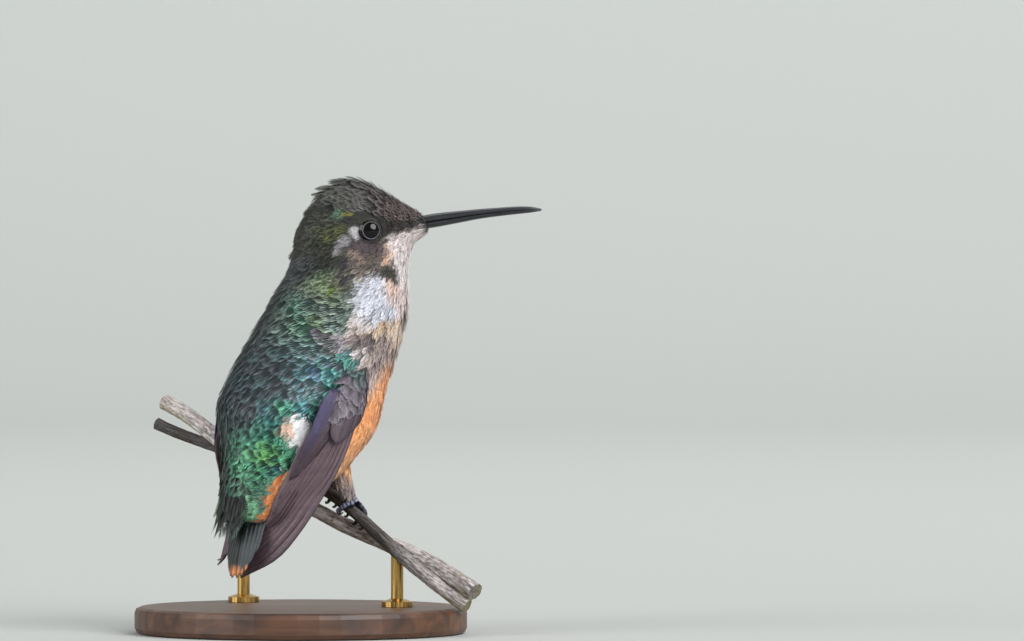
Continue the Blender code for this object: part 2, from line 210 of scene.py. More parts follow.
def ring_faces(rows, around, capped=True):
    """Faces of a tube whose points run round it row by row, with its two ends closed."""
    index = np.arange(rows * around).reshape(rows, around)
    beside = np.roll(index, -1, 1)
    faces = np.stack([index[:-1], beside[:-1], beside[1:], index[1:]], -1).reshape(-1, 4).tolist()
    return faces + ([index[0, ::-1].tolist(), index[-1].tolist()] if capped else [])


print("a tube of 3 rings of 12 points has", len(ring_faces(3, 12)), "faces")

# %% [markdown]
# Copies of the frame's solids are the clay for the dressed pieces. Modifiers swell, smooth or round them.

# %% Copies and modifiers
def copied(names, name):
    """Copies of CAD nodes as one merged mesh of their own."""
    deselect()
    for each in names:
        nodes[each].select_set(True)
    bpy.context.view_layer.objects.active = nodes[names[0]]
    bpy.ops.object.duplicate()
    if len(names) > 1:
        bpy.ops.object.join()
    made = bpy.context.object
    made.name = name
    for key in list(made.keys()):
        del made[key]
    made.parent = None
    made.data.materials.clear()
    bpy.ops.object.mode_set(mode="EDIT")
    bpy.ops.mesh.select_all(action="SELECT")
    bpy.ops.mesh.remove_doubles(threshold=0.00001)
    bpy.ops.object.mode_set(mode="OBJECT")
    return made


def apply_modifier(piece, kind, **settings):
    """Adds a modifier with its settings and applies it."""
    deselect()
    piece.select_set(True)
    bpy.context.view_layer.objects.active = piece
    made = piece.modifiers.new(kind.lower(), kind)
    for key, value in settings.items():
        setattr(made, key, value)
    bpy.ops.object.modifier_apply(modifier=made.name)


def read(items, name, width, kind=float):
    """One property of all points, edges or triangles, as rows."""
    found = np.empty(len(items) * width, kind)
    items.foreach_get(name, found)
    return found.reshape(-1, width)


def points_of(piece):
    return read(piece.data.vertices, "co", 3) / MM


def normals_of(piece):
    return read(piece.data.vertices, "normal", 3)


def edges_of(piece):
    return read(piece.data.edges, "vertices", 2, np.int64)


def triangles_of(piece):
    piece.data.calc_loop_triangles()
    return read(piece.data.loop_triangles, "vertices", 3, np.int64)


print("the trunk's solid has", len(points_of(nodes["trunk"])), "points")

# %% [markdown]
# The skin is one closed body. It starts as copies of the flesh solids, swollen a little so that the
# thin cuts between them close, and is remeshed into one surface. Then it sinks by the depth of the
# coat, so that the feather tips reach the outline. Sculpting by hand would work too, but the copies
# keep the bird's measured shape.

# %% Skin body
FLESH = ("head", "neck", "trunk", "thigh_left", "thigh_right")
SWELL = 0.1      # closes the cuts between the solids
VOXEL = 0.3
SOCKET, SOCKET_STEP = 1.45, 0.34     # radius of the skin inside the eye's opening, and its rise beyond
OPENING_EDGE = (0.95, 1.22)          # where that rise begins and ends, from the eye's axis
SOCKET_EDGE = (1.3, 1.55)            # where the socket fades into the face



eye_low, eye_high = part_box("eye_right")
EYE = np.array((eye_low + eye_high) / 2) / MM
HEAD_SIDE = float((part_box("bill_upper")[0].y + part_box("bill_upper")[1].y) / 2 / MM)
BILL_BASE = np.array([15.2, HEAD_SIDE, 49.4])
print("eye centre", EYE.round(2), "head plane", round(HEAD_SIDE, 2))


def from_eye(points):
    """Distance from the eyes' centres as seen from the side."""
    return np.linalg.norm(points[:, [0, 2]] - EYE[[0, 2]], axis=1)


def steps(value, low, high):
    """0 below low, 1 above high, and a smooth step between."""
    share = np.clip((value - low) / (high - low), 0, 1)
    return share * share * (3 - 2 * share)


def eye_centre(side):
    """Centre of the eye on one side of the head, -1 for right and 1 for left."""
    return np.array([EYE[0], HEAD_SIDE + side * (HEAD_SIDE - EYE[1]), EYE[2]])


def eye_socket(points):
    """Moves the skin round each eye on to a sphere, low in the opening and full beyond it."""
    away = from_eye(points)
    found = points.copy()
    for side in (-1, 1):
        centre = eye_centre(side)
        near = (away < SOCKET_EDGE[1]) & ((points[:, 1] - centre[1]) * side > -0.2)
        offset = points[near] - centre
        long = np.linalg.norm(offset, axis=1)
        wanted = SOCKET + SOCKET_STEP * steps(away[near], *OPENING_EDGE)
        share = 1 - steps(away[near], *SOCKET_EDGE)
        found[near] = centre + offset * ((wanted / long) * share + 1 - share)[:, None]
    return found


def coat_depth(points):
    """How far the skin lies under the outline, thin on the face and legs and full on the body."""
    x, y, z = points.T
    on_body, on_head, towards_bill, round_eye, on_leg = 0.5, 0.3, 0.17, 0.12, 0.2
    head = steps(z, 43.5, 47.0)
    depth = on_body - (on_body - on_head) * head - towards_bill * head * steps(x, 10.0, 14.0)
    ring = (1 - steps(from_eye(points), 1.6, 3.0)) * (np.abs(y - HEAD_SIDE) > 2.5)
    depth = depth * (1 - ring) + round_eye * ring
    leg = (1 - steps(z, 17.0, 21.0)) * (x > 1.0)
    return depth * (1 - leg) + on_leg * leg


skin = copied(FLESH + ("eye_left", "eye_right"), "skin")
apply_modifier(skin, "DISPLACE", strength=SWELL * MM, mid_level=0.0)
apply_modifier(skin, "REMESH", mode="VOXEL", voxel_size=VOXEL * MM)
apply_modifier(skin, "SMOOTH", factor=0.5, iterations=6)
here = points_of(skin)
here -= normals_of(skin) * (coat_depth(here) + SWELL)[:, None]
skin.data.vertices.foreach_set("co", (here * MM).ravel())
apply_modifier(skin, "REMESH", mode="VOXEL", voxel_size=VOXEL * MM)
apply_modifier(skin, "SMOOTH", factor=0.5, iterations=3)
skin.data.vertices.foreach_set("co", (eye_socket(points_of(skin)) * MM).ravel())
skin.data.update()
skin.data.shade_smooth()
print("skin:", len(skin.data.vertices), "points")

# %% [markdown]
# Feathers need three measures of a surface: a value evened out with its neighbours, the way over the
# surface from one place to all others, and the direction in which a value rises.

# %% Measures of a surface
def evened(values, edges, rounds):
    """Values of the points, each averaged with its neighbours a few times over."""
    a, b = edges.T
    count = len(values)
    degree = np.bincount(a, minlength=count) + np.bincount(b, minlength=count)
    values = values.reshape(count, -1).copy()
    for _ in range(rounds):
        for column in range(values.shape[1]):
            near = np.bincount(a, values[b, column], count) + np.bincount(b, values[a, column], count)
            values[:, column] = 0.5 * values[:, column] + 0.5 * near / np.maximum(degree, 1)
    return values


def travel(points, edges, start):
    """Shortest distance over the mesh's edges from the start points."""
    lengths = np.linalg.norm(points[edges[:, 0]] - points[edges[:, 1]], axis=1)
    around = [[] for _ in points]
    for (a, b), length in zip(edges.tolist(), lengths.tolist()):
        around[a].append((b, length))
        around[b].append((a, length))
    far = [math.inf] * len(points)
    queue = [(0.0, int(i)) for i in start]
    for _, i in queue:
        far[i] = 0.0
    while queue:
        so_far, i = heapq.heappop(queue)
        if so_far > far[i]:
            continue
        for j, length in around[i]:
            if so_far + length < far[j]:
                far[j] = so_far + length
                heapq.heappush(queue, (far[j], j))
    far = np.array(far)
    far[np.isinf(far)] = far[~np.isinf(far)].max()
    return far


def unit(vectors):
    return vectors / np.maximum(np.linalg.norm(vectors, axis=-1, keepdims=True), 1e-12)


def square_to(vectors, up):
    """Unit directions with the part along up taken out."""
    return unit(vectors - up * (vectors * up).sum(-1, keepdims=True))


def slope(points, faces, height):
    """Direction in which height rises, at each point."""
    a, b, c = points[faces[:, 0]], points[faces[:, 1]], points[faces[:, 2]]
    normal = np.cross(b - a, c - a)
    twice = np.maximum((normal ** 2).sum(1), 1e-12)[:, None]
    rise = (np.cross(normal, c - b) * height[faces[:, 0], None]
            + np.cross(normal, a - c) * height[faces[:, 1], None]
            + np.cross(normal, b - a) * height[faces[:, 2], None]) / twice
    found = np.zeros_like(points)
    for corner in range(3):
        for axis in range(3):
            found[:, axis] += np.bincount(faces[:, corner], rise[:, axis], len(points))
    return unit(found)


print("the skin has", len(edges_of(skin)), "edges to walk along")

# %% [markdown]
# Feathers grow from the bill backwards. The lie at any place is the way that leads straight away from
# the bill over the skin, which is how the tracts of a real bird run: back over the crown, round the
# eye, down the neck and out to the tail and feet. So the distance from the bill is measured over the
# skin, and its slope is the lie.

# %% Lie of the plumage
def surface_of(piece, lie=None):
    """What the feather maker needs of a surface: its tree, faces, and each face's up and lie."""
    points, edges, faces = points_of(piece), edges_of(piece), triangles_of(piece)
    up = unit(evened(normals_of(piece), edges, 3))
    if lie is None:
        gap = np.linalg.norm(points - BILL_BASE, axis=1)
        distance = travel(points, edges, np.flatnonzero(gap < gap.min() + 0.8))
        distance = evened(distance, edges, 12)[:, 0]
        lie = slope(points, faces, distance)
    else:
        distance = np.zeros(len(points))
        lie = np.tile(lie, (len(points), 1))
    lie = unit(evened(lie, edges, 14))
    lie = square_to(lie, up)
    tree = BVHTree.FromPolygons(points.tolist(), faces.tolist())
    corners = points[faces]
    area = np.linalg.norm(np.cross(corners[:, 1] - corners[:, 0], corners[:, 2] - corners[:, 0]), axis=1) / 2
    return {
        "tree": tree, "corners": corners, "area": area, "distance": distance[faces].mean(1),
        "up": unit(up[faces].mean(1)), "lie": unit(lie[faces].mean(1)), "points": points,
    }


hide = surface_of(skin)
print("skin area", round(hide["area"].sum()), "mm2, longest way from the bill",
      round(hide["distance"].max(), 1), "mm")

# %% [markdown]
# Every marking is written once, as a soft oval on the bird's side, and painted on skin and feathers of
# both sides. The trunk is turned from the head, so a place on its far side is first folded over.

# %% Folding the two sides together
YAW = math.radians(40.0)
AHEAD = np.array([math.cos(YAW), math.sin(YAW), 0.0])
ASIDE = np.array([math.sin(YAW), -math.cos(YAW), 0.0])
body = hide["points"]
levels = np.arange(15.0, 44.0, 1.0)
mid_ahead = []
for level in levels:
    band = body[(np.abs(body[:, 2] - level) < 0.8) & ((body[:, 0] < 4) | (level > 22))]
    along = band @ AHEAD
    mid_ahead.append((along.min() + along.max()) / 2)


def in_row_frame(points):
    """Points given as (forward, right, up) of the trunk, in the frame's axes."""
    return points[..., :1] * AHEAD + points[..., 1:2] * ASIDE + points[..., 2:] * np.array([0, 0, 1.0])


def folded(points):
    """For each place: x as the near side shows it, height, and the angle from the front of the trunk."""
    x, _, z = points.T
    ahead = points @ AHEAD - np.interp(z, levels, mid_ahead)
    aside = points @ ASIDE
    turn = np.degrees(np.arctan2(aside, ahead))
    reach = np.hypot(ahead, aside)
    seen = np.radians(np.maximum(np.abs(turn), 44.0))
    middle = np.interp(z, levels, mid_ahead)
    near = (middle + reach * np.cos(seen)) * AHEAD[0] + reach * np.sin(seen) * ASIDE[0]
    head = steps(z, 41.0, 44.5)
    return near * (1 - head) + x * head, z, turn % 360


print("the trunk's middle line is known at", len(mid_ahead), "heights")

# %% [markdown]
# The barbs of the upper back sweep in towards the spine. Rooted straight down the body they would show
# as plain lines, so the lie is combed inward there before any feather is laid.

# %% Combing the upper back
COMB = 0.45
middles = hide["corners"].mean(1)
_, height, round_angle = folded(middles)
around = np.radians(round_angle)[:, None]
inward = (-np.sin(around) * AHEAD + np.cos(around) * ASIDE) * np.where(around < math.pi, 1, -1)
share = COMB * steps(height, 31.0, 35.0) * (1 - steps(height, 41.0, 44.0)) * (np.abs(round_angle - 180) < 95)
combed = hide["lie"] + inward * share[:, None]
hide["lie"] = square_to(combed, hide["up"])
print("combed inward:", int((share > 0.1).sum()), "of", len(share), "triangles")

# %% [markdown]
# A marking has three parts: the colour of the feather's body, the colour of its fringe, and how much
# of the green or blue comes from the feather's structure, which shines like metal, and not from
# pigment. The ovals are laid one over the other, from the large fields to the small spots.

# %% Markings of the back
def stops(value, table):
    """Colours that change along a value, through (value, body, fringe) stops."""
    places = [row[0] for row in table]
    found = []
    for which in (1, 2):
        rows = np.array([rgb(row[which]) for row in table])
        found.append(np.stack([np.interp(value, places, rows[:, i]) for i in range(3)], 1))
    return found


BACK = [    # height, body, fringe
    (12.0, "#27332f", "#4e6958"),
    (15.0, "#2a4238", "#608b76"),
    (17.5, "#234338", "#63977d"),
    (20.5, "#1f5644", "#73d19c"),
    (23.5, "#1f4f45", "#68c297"),
    (26.5, "#2e605d", "#71b3a6"),
    (29.5, "#396167", "#7ebdbe"),
    (32.5, "#3f6269", "#8cbcbe"),
    (35.5, "#3f5652", "#9fb7ae"),
    (38.5, "#3f524b", "#a5b8ab"),
    (41.5, "#48514c", "#8d9c8d"),
    (44.5, "#1d201b", "#444939"),
    (48.0, "#1b1d18", "#484d37"),
    (52.0, "#171716", "#363833"),
]
SHEEN = [   # patches of structural colour that wander over the middle back
    (0.00, "#40444d", "#76828c"),
    (0.36, "#464f57", "#788b92"),
    (0.48, "#376b6c", "#71b6ab"),
    (0.60, "#327e6c", "#7bd8b8"),
    (0.70, "#367b7e", "#71c7be"),
    (0.84, "#3f5b72", "#6e96a6"),
    (1.00, "#4f4f5b", "#828692"),
]
# painted shade: the back's green goes charcoal near the spine, on the side turned from the light
CHARCOAL_SHADE = ("#33353b", "#5a5e64")
SHADE_FROM = [   # height, and the angle round the trunk where the painted shade of the back begins
    (13, 178), (20, 184), (24, 176), (27, 158), (30, 143), (33, 147), (34.5, 158), (36, 176), (38, 182),
    (41, 178), (45, 168),
]
SHADE_TO = 216
UNDERSIDE = [   # height, and x beyond which the plumage is that of the underside
    (13.0, -4.4), (14.5, -4.3), (17.0, -3.2), (18.9, -2.2), (19.8, -1.2), (22.0, 1.0), (25.5, 3.4),
    (28.5, 5.0), (31.0, 7.2), (32.5, 7.0), (34.0, 5.6), (36.0, 5.2), (38.0, 6.2), (40.0, 6.7),
    (42.0, 6.6), (43.5, 6.0), (44.5, 5.4),
]
BELLY = [
    (13.0, "#bd6c37", "#ce935f"),
    (17.5, "#c87a42", "#dba26c"),
    (19.6, "#f3b374", "#f3ce93"),
    (22.0, "#f5a966", "#f5bf86"),
    (27.0, "#f5a05e", "#f5b67a"),
    (30.6, "#f5a463", "#f5bd84"),
    (33.0, "#94827b", "#ecd9d0"),
    (34.5, "#7f6f71", "#d6c1c0"),
    (36.0, "#a4948b", "#ecd8c7"),
    (37.5, "#d7cfce", "#f3ecea"),
    (41.5, "#d8d9e5", "#ebecf3"),
    (42.6, "#8d847e", "#ccc2b8"),
    (43.2, "#584e48", "#a3968a"),
    (44.5, "#5c524c", "#a3968a"),
]
print("colour stops:", len(BACK), "for the back,", len(SHEEN), "for its sheen,", len(BELLY), "below")

# %% [markdown]
# The head of a female woodstar carries most of the small marks: the pale spot behind the eye, dark ear
# coverts, buff cheek and white throat. Each is one oval with its own tilt and softness, and a little
# noise on its place keeps its border ragged, as feather tips make it.

# %% Markings of the head and the smaller spots
MARKS = [   # what, x, height, half length, half height, tilt, softness, body, fringe, gloss
    ("olive shoulder", 3.2, 41.6, 2.2, 1.5, -20, 0.4, "#596b52", "#a4b88f", 0.3),
    ("lime spot", 3.7, 41.2, 0.7, 0.4, 60, 0.4, "#5f7b31", "#a3c15c", 0.5),
    ("upper back emerald", -0.8, 39.6, 2.0, 1.3, -30, 0.4, "#2d6054", "#97bea5", 0.6),
    ("emerald below it", 0.6, 36.8, 2.0, 1.2, -20, 0.4, "#2f6151", "#9ec2a8", 0.6),
    ("shoulder green", 2.2, 37.6, 1.1, 0.8, 0, 0.4, "#436641", "#95a67a", 0.5),
    ("purple-grey gap", 2.4, 35.9, 1.5, 0.6, -15, 0.4, "#625a66", "#968d99", 0.1),
    ("turquoise scales", 3.9, 30.6, 1.0, 1.4, 15, 0.35, "#327e7c", "#89d6d0", 0.6),
    ("blue scales", 2.0, 31.4, 1.1, 0.8, 0, 0.45, "#385d75", "#6791a4", 0.5),
    ("blue spot", 0.3, 27.2, 0.8, 1.0, 25, 0.4, "#377b8f", "#75bfca", 0.6),
    ("green spot", -1.9, 27.6, 1.0, 0.9, 0, 0.4, "#2a785f", "#85d7b3", 0.6),
    ("rump lime", -3.6, 21.8, 2.0, 0.9, -10, 0.4, "#2c744d", "#a1e889", 0.6),
    ("rump blue line", -2.2, 19.8, 1.6, 0.5, -8, 0.4, "#2e686b", "#69b9ac", 0.5),
    ("bright tail covert", -5.6, 15.3, 0.9, 1.3, 0, 0.3, "#558b68", "#97d7a9", 0.3),
    ("tail covert dark", -8.2, 15.0, 1.6, 2.2, 0, 0.4, "#151816", "#2d332e", 0.2),
    ("under-tail rufous", -3.1, 17.1, 0.5, 3.0, -24, 0.25, "#bd6731", "#ce8c55", 0.0),
    ("flank white", 0.25, 24.2, 1.2, 2.1, 8, 0.2, "#f8f8fc", "#fbfbfd", 0.0),
    ("flank peach edge", -1.3, 24.9, 0.7, 0.9, 0, 0.7, "#dab09a", "#ecd1c0", 0.0),
    ("white breast", 9.2, 39.6, 2.5, 3.0, 0, 0.25, "#d3d6e4", "#e9ebf3", 0.0),
    ("breast edge", 12.3, 39.0, 1.0, 3.8, 0, 0.3, "#f3deda", "#f3e3df", 0.0),
    ("breast buff strip", 10.9, 41.2, 0.9, 1.5, 0, 0.45, "#ddbeae", "#f1ddd4", 0.0),
    ("breast warm fringe", 10.0, 36.7, 2.4, 0.55, 14, 0.45, "#d3b18b", "#f3e5d5", 0.0),
    ("lower breast buff", 11.6, 35.4, 0.9, 1.5, 10, 0.4, "#f3d5ba", "#f3e7de", 0.0),
    ("breast dusky streak", 12.3, 37.6, 0.3, 1.0, -10, 0.5, "#5d5454", "#998e8b", 0.0),
    ("shoulder pale fluff", 4.9, 35.0, 0.9, 0.9, 0, 0.4, "#8e848c", "#d2cad2", 0.0),
    # painted shade: a near-black oval in the gap by the top of the wing
    ("painted shade in the gap beside it", 3.6, 34.6, 0.5, 1.2, 10, 0.45, "#26241f", "#545044", 0.0),
    ("shoulder brown", 7.4, 35.0, 1.6, 1.0, 0, 0.4, "#4f4447", "#928787", 0.0),
    ("neck side", 5.0, 42.3, 1.4, 1.4, 0, 0.4, "#515340", "#929678", 0.2),
    ("neck dark line", 5.3, 43.0, 0.55, 1.7, 12, 0.4, "#18151b", "#453c4a", 0.1),
    ("dusky under the ear", 7.3, 43.9, 1.6, 0.7, 0, 0.4, "#4e4440", "#9c8e80", 0.0),
    ("green throat side", 10.2, 43.2, 2.0, 0.85, -14, 0.35, "#23221b", "#454332", 0.2),
    ("throat", 12.6, 44.4, 1.4, 3.2, 8, 0.3, "#f3e7e9", "#f3eaec", 0.0),
    ("lower throat", 13.0, 42.6, 0.9, 1.4, 0, 0.35, "#f3eae4", "#f3ebe7", 0.0),
    ("chin", 13.2, 47.5, 1.9, 1.2, 35, 0.3, "#e2d5d2", "#e2d8d6", 0.0),
    ("cheek", 11.3, 46.0, 1.1, 2.0, 12, 0.35, "#dbcfcd", "#e6dfe1", 0.0),
    ("malar buff", 10.3, 46.0, 0.5, 1.2, 20, 0.4, "#d5b59c", "#eddac9", 0.0),
    ("malar orange", 10.2, 44.8, 0.5, 0.25, -35, 0.6, "#c4987b", "#eed8cc", 0.0),
    ("ear coverts", 8.0, 46.3, 2.4, 1.2, -8, 0.25, "#403639", "#7d6d72", 0.0),
    ("ear buff edge", 6.5, 45.3, 1.3, 0.55, -30, 0.35, "#7f6c5d", "#b7a69a", 0.0),
    ("brown under the ear", 8.6, 45.1, 1.2, 0.45, -10, 0.4, "#50433a", "#8c7f73", 0.0),
    ("hind crown side", 3.2, 49.0, 1.6, 1.3, 0, 0.4, "#282d25", "#5e654b", 0.2),
    ("olive behind the eye", 4.2, 48.0, 1.7, 1.0, 20, 0.4, "#363c21", "#7b814a", 0.2),
    ("white behind the eye", 6.5, 48.1, 0.6, 0.75, 20, 0.4, "#ccc8ce", "#e9e7eb", 0.0),
    ("white streak below it", 5.1, 47.0, 0.9, 0.5, 40, 0.6, "#a9a5aa", "#c9c8cd", 0.0),
    ("its tail", 4.2, 46.0, 0.6, 0.5, 50, 0.6, "#8b888b", "#b8b7ba", 0.0),
    ("green over the ear", 4.2, 50.3, 0.9, 0.5, 10, 0.4, "#456650", "#86a48c", 0.4),
    ("yellow over the ear", 5.5, 50.4, 0.7, 0.28, 0, 0.4, "#6c6a2a", "#a6a058", 0.2),
    ("ring of the eye", 8.53, 48.4, 1.75, 1.45, 0, 0.2, "#201c1c", "#463e3d", 0.0),
    ("lores", 11.9, 49.0, 2.4, 0.6, 6, 0.25, "#231b1d", "#4d3e3e", 0.0),
    ("black cheek stroke", 10.2, 46.9, 0.6, 0.2, 40, 0.4, "#1a1514", "#453a38", 0.0),
]
FIELDS = 13      # this many of the marks lie under the painted charcoal shade and the underside
CROWN = [   # x, body, fringe
    (0.0, "#151614", "#4d4f47"),
    (4.0, "#151614", "#696c63"),
    (8.0, "#161516", "#625e5c"),
    (11.0, "#322a2b", "#958482"),
    (14.5, "#342c2d", "#937e7c"),
]
CROWN_EDGE = [   # x, and the height where the crown begins
    (0.0, 52.2), (2.5, 51.6), (4.2, 51.2), (7.0, 50.7), (9.0, 50.2), (11.0, 49.7), (13.0, 49.7), (16.0, 49.8),
]
print("marks:", len(MARKS))

# %% [markdown]
# A look is a body colour, a fringe colour and a gloss at every place. As in painting, each field or mark
# is laid over the look before it with a soft share.

# %% Laying one look over another
SHANKS = (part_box("shank_left"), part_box("shank_right"))
LEGS = [(np.array(low) + np.array(high))[:2] / 2 / MM for low, high in SHANKS]


def between(value, low, high):
    """1 between two ranges of a value, with a smooth step up over the first and down over the second."""
    return steps(value, *low) * (1 - steps(value, *high))


def from_leg(points):
    """Distance in plan from the nearer shank."""
    return np.minimum(*(np.hypot(*(points[:, :2] - leg).T) for leg in LEGS))


def turn_front(turn):
    """Angle from the front of the trunk on either side, 0 to 180."""
    return 180 - np.abs(180 - turn)


def wander(points, size, seed):
    """Smooth noise from -1 to 1 that changes over the given size."""
    shift = Vector((seed * 13.7, seed * 5.1, seed * 9.3))
    return np.array([noise.noise(Vector(p) / size + shift) for p in points.tolist()])


def laid(look, share, body_colour, fringe, gloss):
    """A look of body colour, fringe and gloss laid over another by a share at each place."""
    wide = share[:, None]
    return (look[0] * (1 - wide) + body_colour * wide, look[1] * (1 - wide) + fringe * wide,
            look[2] * (1 - share) + gloss * share)


def marked(look, marks, x, z, rough=0.0):
    """Lays soft ovals over a look, one row of marks after another."""
    for _, mark_x, mark_z, half_long, half_high, tilt, soft, body_colour, fringe, gloss in marks:
        c, s = math.cos(math.radians(tilt)), math.sin(math.radians(tilt))
        u = ((x - mark_x) * c + (z - mark_z) * s) / half_long
        v = ((z - mark_z) * c - (x - mark_x) * s) / half_high
        share = 1 - steps(np.hypot(u, v) + rough, 1 - soft, 1 + soft)
        look = laid(look, share, rgb(body_colour), rgb(fringe), gloss)
    return look


print("legs stand at", [leg.round(1).tolist() for leg in LEGS])

# %% [markdown]
# One function paints the whole bird, so skin, coat and crest agree. First comes the back with its sheen
# and large marks, then the charcoal of the far shoulder, which is painted shade, the warm underside, the
# small marks, the grey round the vent and legs, and last the crown.

# %% Painting the bird
ROUGH_EDGE = 0.28
GLOSS_HEIGHTS, GLOSS = [12, 16, 20, 40, 43, 46], [0.3, 0.5, 0.75, 0.7, 0.4, 0.15]
VENT = ("#8d7d79", "#b3a7a3")


def painted(points):
    """Body colour, fringe colour and gloss of the plumage at each place."""
    x, z, turn = folded(points)
    x = x + ROUGH_EDGE * wander(points, 1.1, 1)
    z = z + ROUGH_EDGE * wander(points, 1.1, 2)
    streaks = wander(points * np.array([2.4, 2.4, 0.5]), 1.0, 8) * (turn_front(turn) < 120)
    z = z + 1.1 * streaks * between(z, (29.0, 33.0), (43.0, 45.0))
    look = (*stops(z, BACK), np.interp(z, GLOSS_HEIGHTS, GLOSS))

    patch = np.clip(0.5 + 0.8 * wander(points, 1.2, 3) + 0.45 * wander(points, 0.5, 4), 0, 1)
    look = laid(look, 0.8 * between(z, (24.5, 27.5), (32.5, 35.5)), *stops(patch, SHEEN), 0.5)
    look = marked(look, MARKS[:FIELDS], x, z)

    # painted shade: charcoal is laid over the back from this angle round the trunk to a little past the spine
    shade_from = np.interp(z, *zip(*SHADE_FROM)) + 9 * wander(points, 2.0, 5) + 7 * wander(points, 0.7, 6)
    dark = between(turn, (shade_from - 9, shade_from + 9), (SHADE_TO, SHADE_TO + 14))
    dark *= 1 - steps(z, 44.0, 46.0)
    look = laid(look, dark * 0.82, rgb(CHARCOAL_SHADE[0]), rgb(CHARCOAL_SHADE[1]), 0.1)

    edge = np.interp(z, *zip(*UNDERSIDE))
    warm = steps(x, edge - 0.25, edge + 0.25) * (1 - steps(z, 44.3, 45.3)) * (turn_front(turn) < 150)
    lower = z + 1.6 * np.clip(10.2 - x, 0, 3) * between(z, (25.0, 29.0), (33.0, 36.0))
    look = laid(look, warm, *stops(lower, BELLY), 0.0)
    look = marked(look, MARKS[FIELDS:], x, z)

    vent = np.maximum(0.75 * steps(x, -1.2, 0.6), 1 - steps(from_leg(points), 2.4, 3.4))
    vent = vent * (1 - steps(z + 0.5 * streaks, 17.6, 19.6))
    look = laid(look, vent, rgb(VENT[0]), rgb(VENT[1]), 0.0)
    crown_edge = np.interp(x, *zip(*CROWN_EDGE))
    return laid(look, steps(z, crown_edge - 0.15, crown_edge + 0.15), *stops(x, CROWN), 0.1)


print("eye ring painted", painted(EYE[None])[0].round(3).tolist())

# %% [markdown]
# A body feather is a shaft with barbs that leave it at a slant and bend to run beside it, so its free
# end shows as a fan of fine lines. Each tract has its own feather: broad fans on the back, scales on the
# crown, and soft hair-like ones below. They lie like roof tiles, so that every tip covers the next root.

# %% Tracts
# length, half width, gap, lift, raggedness, barbs, stiffness, root shade, barb breadth, tip breadth, speckle
TRACTS = {
    "back": (2.6, 0.98, 0.90, 0.24, 0.08, 10, 0.25, 0.34, 0.58, 0.3, 0.26),
    "saddle": (2.2, 0.78, 0.84, 0.23, 0.08, 9, 0.20, 0.34, 0.62, 0.3, 0.26),
    "rump": (2.4, 1.05, 0.72, 0.28, 0.03, 14, 0.15, 0.24, 0.66, 0.45, 0.22),
    "flank": (2.0, 0.42, 0.30, 0.36, 0.15, 9, 0.20, 0.92, 1.0, 0.15, 0.04),
    "neck": (2.2, 0.60, 0.54, 0.30, 0.12, 13, 0.20, 0.22, 0.72, 0.2, 0.36),
    "nape": (1.7, 0.42, 0.42, 0.30, 0.14, 10, 0.30, 0.20, 0.75, 0.2, 0.48),
    "crown": (2.2, 0.56, 0.62, 0.42, 0.07, 13, 0.25, 0.14, 1.0, 0.5, 0.2),
    "forehead": (1.0, 0.26, 0.29, 0.22, 0.10, 8, 0.1, 0.22, 1.0, 0.5, 0.2),
    "face": (1.1, 0.17, 0.24, 0.18, 0.25, 6, 0.1, 0.45, 0.9, 0.15, 0.2),
    "lids": (0.5, 0.12, 0.15, 0.08, 0.2, 5, 0.0, 0.45, 1.0, 0.3, 0.16),
    "throat": (1.5, 0.24, 0.28, 0.20, 0.18, 7, 0.15, 0.82, 1.0, 0.15, 0.06),
    "breast": (2.7, 0.38, 0.42, 0.38, 0.22, 10, 0.30, 0.55, 0.9, 0.12, 0.12),
    "belly": (2.6, 0.44, 0.34, 0.26, 0.10, 9, 0.20, 0.95, 1.0, 0.15, 0.05),
    "legs": (2.0, 0.22, 0.30, 0.20, 0.30, 6, 0.60, 0.75, 0.9, 0.12, 0.10),
}
TRACT_NAMES = list(TRACTS)
ROWS = {"rump": (0.66, 1.25), "saddle": (0.62, 1.0), "back": (0.8, 1.25)}      # row spacing, gap within a row


def in_flank(x, z):
    """The white tuft of the flank, and the soft strip under the tail."""
    strip = (np.abs(x + 3.35 - 0.44 * (z - 17.0)) < 0.7) & (np.abs(z - 17.0) < 2.8)
    return (np.hypot((x - 0.2) / 1.5, (z - 24.4) / 2.5) < 1) | strip


def tract_of(points):
    """Index of the tract at each place."""
    x, z, _ = folded(points)
    below = x > np.interp(z, *zip(*UNDERSIDE))
    found = np.full(len(points), TRACT_NAMES.index("back"))

    def put(name, where):
        found[where] = TRACT_NAMES.index(name)

    put("saddle", z < 34.5)
    put("rump", z < 26)
    put("flank", in_flank(x, z))
    put("neck", z > 41)
    put("nape", (z > 44.5) & (x < 5.5))
    put("belly", below & (z < 32.5))
    put("breast", below & (z >= 32.5))
    put("face", (z > 44.3) & (x > 4.6))
    put("throat", (z > 41.5) & (x > 9.8) & (z < 47.5))
    put("throat", (z > 44.5) & (x > 11.2) & (z < 48.2))
    put("crown", z > np.interp(x, *zip(*CROWN_EDGE)))
    put("forehead", (z > 48.6) & (x > 10.6))
    put("lids", (from_eye(points) < 2.3) & (np.abs(points[:, 1] - HEAD_SIDE) > 2.5) & (z > 46))
    put("legs", (z < 19.5) & (from_leg(points) < 3.0))
    return found


print("tracts:", len(TRACTS), "of which in rows:", list(ROWS))

# %% [markdown]
# No two feathers share a root, and on the back they stand in staggered rows like tiles. So roots are
# thrown at random and thinned to an even gap, and on the back they are then drawn into rows.

